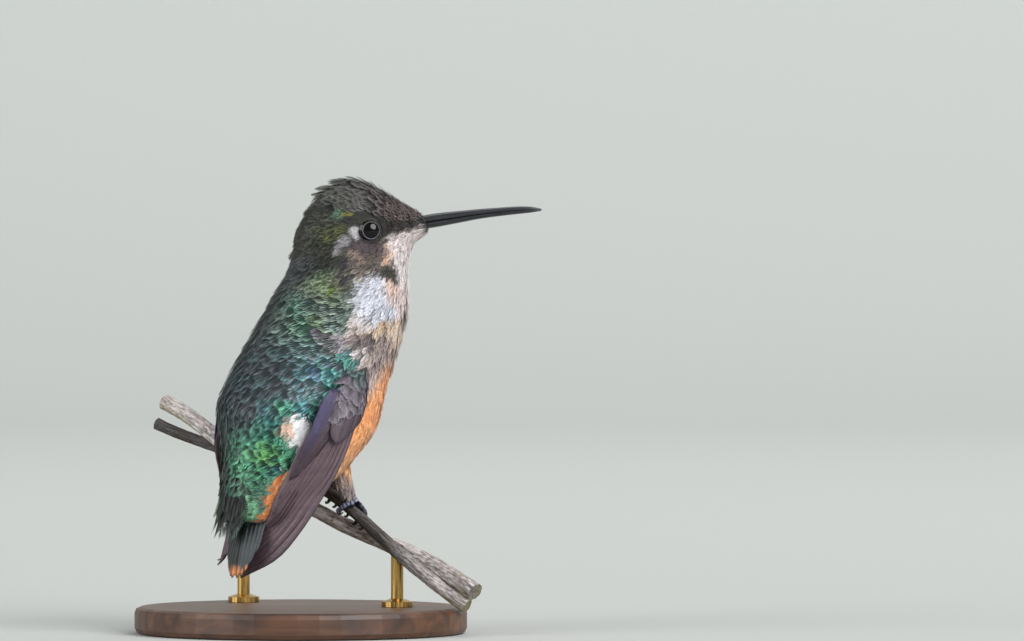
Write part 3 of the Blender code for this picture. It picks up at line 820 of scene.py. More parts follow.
# %% Roots of the feathers
def scattered(surface, gap_of, seed):
    """Places on a surface no nearer to one another than the gap asked for there, with their faces."""
    dice = np.random.default_rng(seed)
    gaps = gap_of(surface["corners"].mean(1))
    want = 7 * surface["area"] / np.maximum(gaps, 1e-3) ** 2
    want[gaps <= 0] = 0
    count = int(want.sum())
    faces = dice.choice(len(want), count, p=want / want.sum())
    u, v = dice.random((2, count))
    over = u + v > 1
    u[over], v[over] = 1 - u[over], 1 - v[over]
    a, b, c = surface["corners"][faces].transpose(1, 0, 2)
    places = a + (b - a) * u[:, None] + (c - a) * v[:, None]
    kept = []
    for gap in np.unique(gaps[faces]):
        cells = {}
        for i in np.flatnonzero(gaps[faces] == gap):
            p = places[i]
            key = tuple((p // gap).astype(int))
            near = (cells.get((key[0] + dx, key[1] + dy, key[2] + dz), ())
                    for dx in (-1, 0, 1) for dy in (-1, 0, 1) for dz in (-1, 0, 1))
            if all((p[0] - q[0]) ** 2 + (p[1] - q[1]) ** 2 + (p[2] - q[2]) ** 2 > gap * gap
                   for cell in near for q in cell):
                cells.setdefault(key, []).append(p.tolist())
                kept.append(i)
    kept = np.array(kept)
    return places[kept], faces[kept]


def in_rows(surface, roots, faces, row, apart):
    """Moves roots along the lie into even rows, staggered like tiles, and drops the ones too near."""
    level = surface["distance"][faces]
    number = np.round(level / row).astype(int)
    moved, faces = nearest(surface["tree"], roots + surface["lie"][faces] * (number * row - level)[:, None])
    kept, by_row = [], {}
    before = math.hypot(0.36 * apart, row)      # a little less than half a gap aside from the row before
    for i in np.argsort(number, kind="stable"):
        p = moved[i]
        own, last = by_row.setdefault(number[i], []), by_row.get(number[i] - 1, [])
        if any(rows and ((np.array(rows) - p) ** 2).sum(1).min() < gap ** 2
               for rows, gap in ((own, apart), (last, before))):
            continue
        own.append(p)
        kept.append(i)
    return moved[kept], faces[kept]


def nearest(tree, places):
    """Nearest points of a surface and their faces."""
    found = [tree.find_nearest(p) for p in places.tolist()]
    return np.array([f[0] for f in found]), np.array([f[2] for f in found])


print("the nearest skin to the bill's root is", nearest(hide["tree"], BILL_BASE[None])[0][0].round(2))

# %% [markdown]
# A feather bends with the body under it. Its shaft is walked over the skin in short steps along the lie,
# and a stiff feather keeps more of the way it set out in.

# %% Walking a feather over the skin
STATIONS = 4


def walked(surface, roots, faces, length, swing, stiff):
    """Places, ups and sideways directions at even steps along each feather's shaft."""
    place, up, lie = roots, surface["up"][faces], surface["lie"][faces]
    side = np.cross(lie, up)
    lie = unit(lie * np.cos(swing)[:, None] + side * np.sin(swing)[:, None])
    spine, ups, sides = [place], [up], [unit(np.cross(lie, up))]
    for _ in range(STATIONS - 1):
        ahead = place + lie * (length / (STATIONS - 1))[:, None]
        on_skin, faces = nearest(surface["tree"], ahead)
        next_up = unit(surface["up"][faces] * (1 - stiff) + up * stiff)
        place = on_skin * (1 - stiff) + ahead * stiff
        turned = surface["lie"][faces]
        side = np.cross(turned, next_up)
        turned = turned * np.cos(swing)[:, None] + side * np.sin(swing)[:, None]
        lie = unit(0.5 * lie + 0.5 * turned)
        lie, up = square_to(lie, next_up), next_up
        spine.append(place)
        ups.append(up)
        sides.append(unit(np.cross(lie, up)))
    return np.stack(spine, 1), np.stack(ups, 1), np.stack(sides, 1)


print("stations along each shaft:", STATIONS)

# %% [markdown]
# Modelling one feather by hand and copying it would give thousands of equal tiles. Here one flat fan of
# barbs is worked out as arrays and bent along every shaft, so each feather is different and the whole
# tract is one mesh.

# %% One fan of barbs
BARB_ROWS = (0.0, 0.45, 0.78, 1.0)
BARB_BREADTH = (0.85, 1.0, 0.95)      # and the tip breadth of the tract
FAN_OPEN = 1.35                       # half the angle of the fan, in radians
COMBED = tuple(ROWS)                  # tracts whose barbs run beside the shaft, and not out from its foot


def curve(start, bend, end, t):
    """A line from start to end that bends towards a third place."""
    return (1 - t) ** 2 * start + 2 * t * (1 - t) * bend + t * t * end


def fan(barbs, tip, combed):
    """A flat feather of unit length and half width: for each barb and row its place and breadth."""
    lean = np.linspace(-1, 1, barbs)[:, None]
    tip_x = np.sin(lean * FAN_OPEN)
    tip_y = 1 - (0.40 - 0.18 * combed) * (1 - np.cos(lean * FAN_OPEN))
    base_x = combed * (0.75 * tip_x - 0.4)
    base_y = np.maximum(tip_y - 0.34 - 0.34 * np.abs(lean), 0.02)
    t = np.array(BARB_ROWS)[None, :]
    along_x = curve(base_x, base_x + 0.62 * (tip_x - base_x), tip_x, t)
    along_y = curve(base_y, base_y + 0.42 * (tip_y - base_y), tip_y, t)
    return along_x, along_y, np.tile(np.array(BARB_BREADTH + (tip,)), (barbs, 1)), lean[:, 0]


print("a fan of 9 barbs has", 2 * fan(9, 0.3, 0.0)[0].size, "points")

# %% [markdown]
# Each feather draws its own raggedness: its barbs swing a little, end at their own length and overlap
# like the ribs of a hand fan. It also takes the roundness of the body beneath it.

# %% Ragged and bent fans
FALL = 0.5


def ragged(dice, count, size, combed):
    """Fans with their own swing and ends: across and along at unit size, barb breadth and height in mm."""
    _, half, _, lift, rag, barbs, _, _, duty, tip, _ = size
    fan_x, fan_y, breadth, lean = fan(barbs, tip, combed)
    each, rows = (count, barbs, 1), np.array(BARB_ROWS)
    x = fan_x[None] * (1 + 0.5 * rag * dice.standard_normal(each).clip(-2, 2))
    x = x + 0.12 * rag * dice.standard_normal(each) * rows
    y = fan_y[None] * (1 - rag * dice.random(each) * rows)
    thick = 0.5 * duty * breadth[None] * (1.9 * half / barbs) * np.ones(each)
    height = 0.04 + lift * (1 + 0.22 * dice.standard_normal((count, 1, 1)).clip(-1.5, 1.5)) * y ** 1.35
    height = height + 0.02 * dice.standard_normal(each) * rows
    overlap = 0.16 * thick * np.sign(lean)[None, :, None]
    height = np.stack([height + overlap, height - overlap], -1)
    return x, np.repeat(y[..., None], 2, -1), thick, height


def roundness(surface, middle, side, up, wide):
    """Fall of the surface to either side of each feather, in mm for a square millimetre."""
    bend = np.zeros(len(middle))
    for sign in (-1, 1):
        beside, _ = nearest(surface["tree"], middle + side * (sign * wide)[:, None])
        bend += ((beside - middle) * up).sum(1) / wide ** 2 / 2
    return np.clip(bend, -FALL, 0.05)


def along_shafts(walk, x_mm, y, height):
    """Carries flat fans on to their shafts."""
    flat = (len(y), -1)
    station = np.clip(y.reshape(flat), 0, 1) * (STATIONS - 1)
    low = np.minimum(station.astype(int), STATIONS - 2)
    part = (station - low)[..., None]
    pick = np.arange(len(y))[:, None]
    spine, ups, sides = (rows[pick, low] * (1 - part) + rows[pick, low + 1] * part for rows in walk)
    places = spine + sides * x_mm.reshape(flat)[..., None]
    return places + ups * height.reshape(flat)[..., None]


print("fans may fall away by up to", FALL, "per mm")

# %% [markdown]
# A barb is dark at its root, where other feathers shade it, then takes its body colour and ends in the
# fringe. The plume lays one fan on each root, colours it and makes a single mesh of the tract.

# %% A plume of fans
BODY_SHARE = (0.0, 0.4, 0.85, 1.0)      # from the root's shade to the body colour, row by row
FRINGE_SHARE = (0.0, 0.0, 0.40, 1.0)    # and from there to the fringe


def barb_tones(dice, body_colour, fringe, shade, speckle, barbs):
    """Colours of all points, a little different from feather to feather and from barb to barb."""
    body_share, fringe_share = (np.reshape(share, (1, 1, -1, 1)) for share in (BODY_SHARE, FRINGE_SHARE))
    tone = (body_colour * shade)[:, None, None] * (1 - body_share) + body_colour[:, None, None] * body_share
    tone = tone * (1 - fringe_share) + fringe[:, None, None] * fringe_share
    tone = tone * (1 + 0.10 * dice.standard_normal((len(tone), 1, 1, 1)))
    tone = tone * (1 + speckle * dice.standard_normal((len(tone), barbs, 1, 1)))
    return np.repeat(np.clip(tone, 0.001, 0.95)[:, :, :, None], 2, 3).reshape(-1, 3)


def plume(name, surface, roots, faces, size, colours, seed, lengths=None, walk=None):
    """Lays one fan per root over a surface and joins them in one piece. walk gives shafts of one's own."""
    length, half, _, _, rag, barbs, stiff, shade, _, _, speckle = size
    dice = np.random.default_rng(seed)
    count, rows = len(roots), len(BARB_ROWS)
    long = length * (1 + 0.14 * dice.standard_normal(count).clip(-1.5, 1.5))
    if lengths is not None:
        long = np.minimum(long, lengths)
    wide = half * (long / length) * (1 + 0.1 * dice.standard_normal(count).clip(-1.5, 1.5))
    swing = (0.07 + 0.45 * rag) * dice.standard_normal(count).clip(-2, 2)
    walk = walk or walked(surface, roots, faces, long, swing, stiff)

    x, y, thick, height = ragged(dice, count, size, float(name.split("_")[-1] in COMBED))
    x_mm = x * wide[:, None, None]
    x_mm = np.stack([x_mm - thick, x_mm + thick], -1)
    middle, up, side = (rows_of[:, STATIONS // 2] for rows_of in walk)
    bend = roundness(surface, middle, side, up, wide) * (1 - 0.5 * stiff)
    places = along_shafts(walk, x_mm, y, height + bend[:, None, None, None] * x_mm ** 2)

    block = np.arange(count * barbs * rows * 2).reshape(count * barbs, rows, 2)
    quads = np.stack([block[:, :-1, 0], block[:, :-1, 1], block[:, 1:, 1], block[:, 1:, 0]], -1)
    piece = mesh_piece(name, places.reshape(-1, 3), quads.reshape(-1, 4))
    body_colour, fringe, gloss = colours
    per = barbs * rows * 2
    paint(piece, barb_tones(dice, body_colour, fringe, shade, speckle, barbs), np.repeat(gloss, per))
    bake_map(piece, roots, surface, fan_xy=(x.repeat(2), y.reshape(-1)), per=per)
    return piece


def paint(piece, tone, gloss):
    """Stores the plumage colour and its structural share on the points."""
    store(piece, "plumage", np.hstack([tone, np.ones((len(tone), 1))]), "FLOAT_COLOR")
    store(piece, "structure", gloss)


print("barb rows:", BARB_ROWS)

# %% [markdown]
# Baking needs a flat map of the coat. The skin is unrolled by rule, round the body one way and away from
# the bill the other, and each tuft gets a small patch at its root's place.

# %% Map of the coat
PATCH = 0.003    # a tuft's size on the unwrapped skin


def bake_map(piece, roots, surface, fan_xy, per):
    """The OFBake map: each tuft is a small patch at its root's place on the skin, unrolled from the bill."""
    _, faces = nearest(surface["tree"], roots)
    head = steps(roots[:, 2], 43.0, 46.0)
    round_body = np.arctan2(roots @ ASIDE, roots @ AHEAD - np.interp(roots[:, 2], levels, mid_ahead))
    round_head = np.arctan2(HEAD_SIDE - roots[:, 1], 48.4 - roots[:, 2])
    away = surface["distance"][faces] + 0.001 * roots[:, 2]
    spots = np.stack([np.where(head > 0.5, round_head, round_body), away], 1)
    low, high = spots.min(0), spots.max(0)
    spots = 0.01 + 0.98 * (spots - low) / np.maximum(high - low, 1e-6)
    x, y = fan_xy
    uv = np.repeat(spots, per, 0) + PATCH / 2 * np.stack([np.clip(x, -1, 1), 2 * y - 1], 1)
    uv = np.clip(uv, 0.0, 1.0)
    corner = np.empty(len(piece.data.loops), np.int64)
    piece.data.loops.foreach_get("vertex_index", corner)
    layer = piece.data.uv_layers.new(name="OFBake")
    layer.data.foreach_set("uv", uv[corner].ravel())


print("a tuft's patch is", PATCH, "of the map")

# %% [markdown]
# Pigment in a barb is dull. The green and blue come from stacked platelets in the barbules, which act as
# small coloured mirrors. So the structural share turns the painted colour from matt towards metal.

# %% Plumage material
def plumage(name, roughness, sheen):
    """Feather keratin: pigment and structural colour painted on the points, with a fine barbule grain."""
    made, tree, shader = finish(name, Roughness=roughness, Sheen_Weight=sheen, Sheen_Roughness=0.5)
    gloss = stored(tree, "structure")
    shade = ranged(tree, grained(tree, on_piece(tree), 0.25, 2.0), 0.3, 0.7, 0.82, 1.12)
    colour = scaled(tree, stored(tree, "plumage", "Color"), shade)
    coloured(tree, shader, colour)
    tree.links.new(maths(tree, "MULTIPLY", gloss, 0.40), shader.inputs["Metallic"])
    tree.links.new(ranged(tree, gloss, 0.0, 1.0, roughness, 0.42), shader.inputs["Roughness"])
    return made


contour = plumage("contour_feather_keratin", 0.55, 0.0)
down = plumage("soft_feather_keratin", 0.75, 0.25)
under = plumage("skin_under_down", 0.85, 0.0)
print("materials:", contour.name, down.name, under.name)

# %% [markdown]
# The skin shows only in the gaps between feathers. It takes the same markings as the coat, much darker,
# because what lies under a feather is shaded down.

# %% Skin finish
skin_points = points_of(skin)
skin_body, _, _ = painted(skin_points)
paint(skin, skin_body * 0.38, np.zeros(len(skin_points)))
settle(skin, FLESH, under)
print("mean skin colour", (skin_body * 0.38).mean(0).round(3))

# %% [markdown]
# The coat goes on tract by tract. Feathers that grow towards the lids are cut short, so that the eye's
# opening stays clear.

# %% Coat
SOFT = ("flank", "face", "lids", "throat", "breast", "belly", "legs")
EYE_OPENING = 1.12
THROWN_GAP = 0.34    # roots are thrown this close in the tracts that are drawn into rows afterwards
FREE = 99.0          # far enough to be no limit
SHOWN = 0.62     # a feather takes the colour of the place that this share of it reaches


def to_opening(points):
    """Distance from the nearer eye's opening, which is a little wider than high."""
    gap = np.hypot(points[:, 0] - EYE[0], 1.18 * (points[:, 2] - EYE[2])) - EYE_OPENING
    return np.where(np.abs(points[:, 1] - HEAD_SIDE) > 2.0, gap, FREE)


def tract_gaps(places):
    """Gap between roots, zero where no feather grows."""
    gaps = np.array([THROWN_GAP if name in ROWS else TRACTS[name][2] for name in TRACTS])[tract_of(places)]
    gaps[(to_opening(places) < 0) & (places[:, 2] > 46)] = 0
    return gaps


def aimed(roots, faces, length):
    """Where most of each feather shows."""
    return nearest(hide["tree"], roots + hide["lie"][faces] * (SHOWN * length)[:, None])[0]


def longest_of(name, place, face):
    """The most that each feather may measure: none reaches over the eye or over the white flank."""
    to_lid, length = to_opening(place), TRACTS[name][0]
    in_front = ((EYE - place) * hide["lie"][face])[:, [0, 2]].sum(1) > 0
    longest = np.where(in_front & (to_lid < 3), np.maximum(to_lid + 0.12, 0.3), FREE)
    if name in ROWS:
        for reach, kept in ((0.9, 0.6), (0.6, 0.35)):
            x, z, _ = folded(nearest(hide["tree"], place + hide["lie"][face] * reach * length)[0])
            longest[in_flank(x, z)] = kept * length
    return longest


roots, root_faces = scattered(hide, tract_gaps, 5)
tract = tract_of(roots)
total = 0
for number, (name, size) in enumerate(TRACTS.items()):
    own = np.flatnonzero(tract == number)
    place, face = roots[own], root_faces[own]
    if name in ROWS:
        place, face = in_rows(hide, place, face, *ROWS[name])
    longest = longest_of(name, place, face)
    coat = plume(f"coat_{name}", hide, place, face, size,
                 painted(aimed(place, face, np.minimum(longest, size[0]))), 100 + number, longest)
    settle(coat, (), down if name in SOFT else contour)
    total += 2 * len(coat.data.polygons)
    print(f"  {name}: {len(place)} feathers, {2 * len(coat.data.polygons)} triangles")
print("coat:", total, "triangles")

# %% [markdown]
# The hind crown carries a short crest. Its feathers are longer than the rest and stand clear of the
# nape, so their free ends break the outline. Each is given its own root and tip.

# %% Crest
CREST = [   # root x and height, tip x and height, how many, spread to either side
    (8.4, 54.1, 3.0, 54.35, 10, 0.8),
    (7.2, 53.8, 3.6, 53.7, 10, 1.5),
    (6.4, 53.5, 1.5, 53.45, 8, 0.9),
    (5.8, 53.0, 0.9, 52.7, 8, 1.3),
    (5.4, 52.6, 1.6, 52.0, 10, 2.1),
    (3.8, 51.4, 0.2, 50.6, 9, 1.4),
    (2.6, 49.6, -0.9, 48.1, 9, 1.6),
    (1.4, 47.2, -1.7, 45.0, 8, 1.5),
]
spines, leans = [], []
dice = np.random.default_rng(8)
for root_x, root_z, tip_x, tip_z, count, spread in CREST:
    for offset in np.linspace(-spread, spread, count):
        jitter = 0.16 * dice.standard_normal(4)
        start = np.array([root_x + jitter[0], HEAD_SIDE + 0.75 * offset, root_z - 0.12 * offset ** 2 - 0.45])
        end = np.array([tip_x + 0.25 * abs(offset) + jitter[1], HEAD_SIDE + offset + jitter[2],
                        tip_z - 0.16 * offset ** 2 + 0.5 * jitter[3] - 0.1])
        share = np.linspace(0, 1, STATIONS)[:, None]
        arch = np.array([-0.05, 0, 0.30]) * 4 * share * (1 - share)
        spines.append(start + (end - start) * share + arch)
        leans.append(math.copysign(math.radians(30 + 30 * abs(offset) / spread), offset))
spines = np.array(spines)
ahead = unit(np.gradient(spines, axis=1))
across = unit(np.cross(ahead, np.array([0, 0, 1.0]) + 0 * ahead))
over = np.cross(across, ahead)
lean = np.array(leans)[:, None, None]
across, over = across * np.cos(lean) - over * np.sin(lean), over * np.cos(lean) + across * np.sin(lean)
crest_length = np.linalg.norm(spines[:, -1] - spines[:, 0], axis=1)
starts, start_faces = nearest(hide["tree"], spines[:, 0])
crest_size = (float(crest_length.mean()), 0.46, 0, 0.08, 0.08, 11, 0.9, 0.3, 1.0, 0.4, 0.14)
crest = plume("coat_crest", hide, starts, start_faces, crest_size, painted(spines[:, 2]), 77, None,
              (spines, over, across))
settle(crest, (), contour)
print("crest:", len(spines), "feathers")

# %% [markdown]
# Two more sets are combed along given ways: the long coverts that run from the rump over the root of the
# tail, and the soft boot of each leg, which hides the shank down to the toes.

# %% Tail coverts and boots
TAIL_WAY = unit(in_row_frame(np.array([-1.6, 0.15, -8.0])))


def combed_set(name, material, size, where, way, flare, seed, aim):
    """Feathers rooted on part of the skin that all run one way, a little spread."""
    place, face = scattered(hide, lambda places: np.where(where(places), size[2], 0.0), seed)
    dice = np.random.default_rng(seed)
    spread = way + flare * hide["up"][face] + 0.06 * dice.standard_normal(place.shape)
    ahead = np.repeat(unit(spread)[:, None], STATIONS, 1)
    spine = place[:, None] + ahead * (np.linspace(0, size[0], STATIONS))[None, :, None]
    up = square_to(np.repeat(hide["up"][face][:, None], STATIONS, 1), ahead)
    coat = plume(name, hide, place, face, size, painted(place + ahead[:, 0] * aim), seed, None,
                 (spine, up, unit(np.cross(ahead, up))))
    settle(coat, (), material)
    print(name, len(place), "feathers")


def at_rump_end(places):
    turn = folded(places)[2]
    return (places[:, 2] > 14.9) & (places[:, 2] < 18.0) & (turn > 160) & (turn < 236)


def at_leg_end(places):
    return (places[:, 2] < 19.4) & (places[:, 0] > 2.6) & (from_leg(places) < 2.5)


TAIL_COVERT = (3.8, 0.80, 0.55, 0.12, 0.08, 13, 0.8, 0.22, 0.8, 0.25, 0.2)     # sizes as in TRACTS
BOOT = (2.2, 0.17, 0.18, 0.08, 0.35, 6, 0.8, 0.7, 0.9, 0.12, 0.14)
BOOT_WAY = np.array([0.12, -0.05, -1.0])
combed_set("coat_tail_coverts", contour, TAIL_COVERT, at_rump_end, TAIL_WAY, 0.06, 41, 2.6)
combed_set("coat_boots", down, BOOT, at_leg_end, BOOT_WAY, 0.16, 43, 1.2)

# %% [markdown]
# A folded wing is a fan that has been shut. Each flight feather is a thin blade with a narrow outer vane
# and a broad inner one, and each lies over the next one out. So the closed wing is one curved sheet,
# found from its two edges, and every blade is laid on it with its own height in the stack.

# %% Edges of a folded wing
LEADING_EDGE = [(2.0, 8.8, 34.4), (2.0, 9.9, 29.8), (0.2, 10.3, 24.8), (-2.8, 9.9, 19.0),
                (-5.6, 8.2, 13.6), (-7.5, 5.2, 9.2), (-9.5, -0.7, 6.5)]
TRAILING_EDGE = [(-1.4, 8.6, 33.0), (-4.0, 9.0, 28.3), (-6.2, 8.4, 23.0), (-7.5, 6.0, 17.9),
                 (-8.5, 2.6, 13.4), (-9.0, 0.6, 10.2), (-9.0, -0.5, 8.1)]
LEFT_TIP_SHIFT, LEFT_TUCK = (-0.1, 5.6, 1.7), 1.0      # the left tip stands off beside the tail
SHEET_ROWS, SHEET_COLUMNS = 49, 13
BULGE, CLEARANCE = 0.7, 0.9      # the sheet's arch across the wing, and its least gap from the trunk


def smooth_rows(rows, places):
    """Rows at places from 0 to 1 on the Catmull-Rom curve through the given ones."""
    rows = np.array(rows, float)
    padded = np.vstack([2 * rows[0] - rows[1], rows, 2 * rows[-1] - rows[-2]])
    spot = np.clip(places, 0, 1) * (len(rows) - 1)
    i = np.minimum(spot.astype(int), len(rows) - 2)
    t = (spot - i)[:, None]
    p0, p1, p2, p3 = (padded[i + k] for k in range(4))
    return 0.5 * (2 * p1 + (p2 - p0) * t + (2 * p0 - 5 * p1 + 4 * p2 - p3) * t ** 2
                  + (3 * p1 - p0 - 3 * p2 + p3) * t ** 3)


trunk = nodes["trunk"]
trunk_tree = BVHTree.FromPolygons(points_of(trunk).tolist(), triangles_of(trunk).tolist())
print("wing chord at the middle:", round(math.dist(LEADING_EDGE[3], TRAILING_EDGE[3]), 2), "mm")

# %% [markdown]
# The sheet is stretched between the two edges, arched a little across, and pushed out smoothly wherever
# it would come too near the trunk. The left wing mirrors the right one, apart from its tip.

# %% Sheet of a folded wing
def wing_sheet(side):
    """Grid of points on the closed wing, with its outward and across directions."""
    sign = 1 if side == "right" else -1
    t = np.linspace(0, 1, SHEET_ROWS)
    s = np.linspace(0, 1, SHEET_COLUMNS)
    front, back = smooth_rows(LEADING_EDGE, t), smooth_rows(TRAILING_EDGE, t)
    shift = np.zeros((SHEET_ROWS, 3))
    if side == "left":
        shift = np.array(LEFT_TIP_SHIFT) * t[:, None] ** 5
        shift[:, 0] += LEFT_TUCK * np.exp(-((t - 0.66) / 0.2) ** 2)
    grid = front[:, None] + (back - front)[:, None] * s[None, :, None] + shift[:, None]
    grid[..., 1] += BULGE * 4 * (s * (1 - s))[None] * np.sqrt(1 - t)[:, None]
    grid[..., 1] *= sign
    grid = in_row_frame(grid)
    flat = grid.reshape(-1, 3)
    push = np.zeros_like(flat)
    for i, point in enumerate(flat.tolist()):
        near, normal, _, gap = trunk_tree.find_nearest(point)
        if (Vector(point) - near).dot(normal) < 0 or gap < CLEARANCE:
            push[i] = near + normal * CLEARANCE - Vector(point)
    push = push.reshape(grid.shape)
    for _ in range(5):
        padded = np.pad(push, ((1, 1), (1, 1), (0, 0)), "edge")
        push = (push * 2 + padded[:-2, 1:-1] + padded[2:, 1:-1] + padded[1:-1, :-2] + padded[1:-1, 2:]) / 6
    grid = grid + push
    down, across = np.gradient(grid, axis=0), unit(grid[:, -1:] - grid[:, :1])
    across = np.repeat(across, SHEET_COLUMNS, 1)
    if side == "left":
        across[t > 0.8] = across[t <= 0.8][-1]
    out = unit(np.cross(across, down))
    out = out * np.sign((out @ ASIDE).sum() * sign)
    return {"grid": grid, "out": out, "across": across, "sign": sign}


def on_sheet(sheet, t, s, which="grid"):
    """Values of a sheet's grid at shares t of its length and s of its width; s may run past the edges."""
    row = np.clip(t, 0, 1) * (SHEET_ROWS - 1)
    column = np.clip(s, 0, 1) * (SHEET_COLUMNS - 1)
    i = np.minimum(row.astype(int), SHEET_ROWS - 2)
    j = np.minimum(column.astype(int), SHEET_COLUMNS - 2)
    a, b = (row - i)[..., None], (column - j)[..., None]
    g = sheet[which]
    near, far = (g[i, k] * (1 - a) + g[i + 1, k] * a for k in (j, j + 1))
    found = near * (1 - b) + far * b
    if which == "grid":
        chord = np.linalg.norm(g[i, -1] - g[i, 0], axis=-1)[..., None]
        found = found + sheet["across"][i, 0] * chord * (s - np.clip(s, 0, 1))[..., None]
    return found


sheets = {side: wing_sheet(side) for side in ("right", "left")}
print("points on each sheet:", sheets["right"]["grid"].shape[:2])

# %% [markdown]
# Nine columns of points across a blade are enough to arch its vanes and raise its shaft. A second layer
# under them closes it to a real thickness of a twentieth of a millimetre.

# %% One blade
BLADE_COLUMNS = np.array([-1.0, -0.55, -0.14, -0.05, 0.05, 0.14, 0.4, 0.75, 1.0])
BLADE_THICK = 0.05


def length_along(line):
    """Length of a line up to each of its points."""
    return np.concatenate([[0], np.cumsum(np.linalg.norm(np.diff(line, axis=0), axis=1))])


def closed_sheet(top, low):
    """Points and faces of a thin closed body between two grids of points."""
    n, m = top.shape[:2]
    index = np.arange(n * m).reshape(n, m)
    upper = np.stack([index[:-1, :-1], index[:-1, 1:], index[1:, 1:], index[1:, :-1]], -1).reshape(-1, 4)
    rim = np.concatenate([index[0, :], index[1:, -1], index[-1, -2::-1], index[-2:0:-1, 0]])
    ahead = np.roll(rim, -1)
    walls = np.stack([rim, rim + n * m, ahead + n * m, ahead], -1)
    faces = np.concatenate([upper, upper[:, ::-1] + n * m, walls])
    points = np.concatenate([top.reshape(-1, 3), low.reshape(-1, 3)])
    a, b, c = (points[upper[:, i]] for i in range(3))
    if (np.cross(b - a, c - a) * (top - low)[:-1, :-1].reshape(-1, 3)).sum() < 0:
        faces = faces[:, ::-1]
    return points, faces


def blade(spine, across, out, outer, inner, arch=0.09, ridge=0.03):
    """A closed thin vane along a shaft. outer and inner are the two vanes' breadths at each station."""
    columns = []
    for place in BLADE_COLUMNS:
        if abs(place) < 0.2:
            offset = place * np.ones(len(spine)) * np.minimum(1, (outer + inner) / 0.5)
        else:
            offset = np.where(place < 0, outer, inner) * place
        half = np.maximum(np.where(place < 0, outer, inner), 1e-3)
        high = -arch * (offset / half) ** 2 + (ridge if abs(place) < 0.1 else 0)
        columns.append(spine + across * offset[:, None] + out * high[:, None])
    top = np.stack(columns, 1)
    points, faces = closed_sheet(top, top - out[:, None] * BLADE_THICK)
    x_mm = np.stack([np.where(p < 0, outer, inner) * p for p in BLADE_COLUMNS], 1)
    m = len(BLADE_COLUMNS)
    length = length_along(spine)[:, None]
    barb = np.stack([x_mm, np.repeat(length, m, 1), np.repeat(length[-1] - length, m, 1)], -1)
    return points, faces, np.concatenate([barb.reshape(-1, 3)] * 2)


def feather_group(name, blades, tones):
    """Joins blades into one piece with their colours and their across, along and to-tip measures."""
    points, faces, barbs, colours, start = [], [], [], [], 0
    for (place, face, barb), tone in zip(blades, tones):
        points.append(place)
        faces.append(face + start)
        barbs.append(barb)
        colours.append(tone(barb))
        start += len(place)
    piece = mesh_piece(name, np.concatenate(points), np.concatenate(faces))
    colours = np.concatenate(colours)
    paint(piece, colours[:, :3], colours[:, 3])
    store(piece, "barb", np.concatenate(barbs), "FLOAT_VECTOR")
    return piece


print("a blade is", BLADE_THICK, "mm thick, with", len(BLADE_COLUMNS), "columns of points")

# %% [markdown]
# The blades of a hummingbird's wing are dull purple-brown. Their barbs lie so close that only a faint
# slanting grain is left, with a soft silky sheen along it.

# %% Vane material
BARB_GAP = 0.22      # along the shaft


def vane(name, roughness, metallic):
    """Stiff flight-feather keratin, with close barbs slanting from the shaft."""
    made, tree, shader = finish(name, Roughness=roughness, Metallic=metallic)
    parts = add(tree, "SeparateXYZ", Vector=stored(tree, "barb", "Vector"))
    across = maths(tree, "ABSOLUTE", parts.outputs["X"])
    slant = maths(tree, "MULTIPLY_ADD", across, -1.3, parts.outputs["Y"])
    streak = add(tree, "CombineXYZ", X=slant, Y=across).outputs["Vector"]
    soft = add(tree, "TexNoise", Vector=streak, Scale=1.6, Detail=3.0).outputs["Fac"]
    bands = maths(tree, "MULTIPLY_ADD", soft, 0.5, slant)
    wave = maths(tree, "SINE", maths(tree, "MULTIPLY", bands, 2 * math.pi / BARB_GAP))
    stripes, blotches = ranged(tree, wave, -1.0, 1.0, 0.86, 1.08), ranged(tree, soft, 0.3, 0.7, 0.8, 1.2)
    shade = maths(tree, "MULTIPLY", stripes, blotches)
    colour = scaled(tree, stored(tree, "plumage", "Color"), shade)
    coloured(tree, shader, colour)
    raised(tree, shader, wave, 0.25, 0.02)
    return made


wing_vane = vane("dusky_flight_feather_keratin", 0.5, 0.15)
tail_vane = vane("glossy_tail_feather_keratin", 0.42, 0.3)


def toned(base, shaft, edge="", tip="", tip_length=0.0, gloss=0.2):
    """Colours a blade: its vane, shaft, outer edge and tip. An edge darker than the vane is painted shadow.
    """
    def apply(barb):
        x, _, to_tip = barb.T
        found = np.tile(rgb(base), (len(barb), 1))
        outermost = np.arange(len(barb)) % len(BLADE_COLUMNS) == 0
        if edge:
            found[outermost] = rgb(edge)
        if tip:
            share = (1 - steps(to_tip, tip_length * 0.7, tip_length * 1.2))[:, None]
            found = found * (1 - share) + rgb(tip) * share
        if shaft:
            found[np.abs(x) < 0.03] = rgb(shaft)
        return np.concatenate([found, np.full((len(barb), 1), gloss)], 1)
    return apply


print("barbs of a blade lie", BARB_GAP, "mm apart")

# %% [markdown]
# Ten primaries make the long point of the wing and six secondaries the short inner part. Each is laid
# from its place on the hand or forearm to its own tip, and sits a little over the one before.

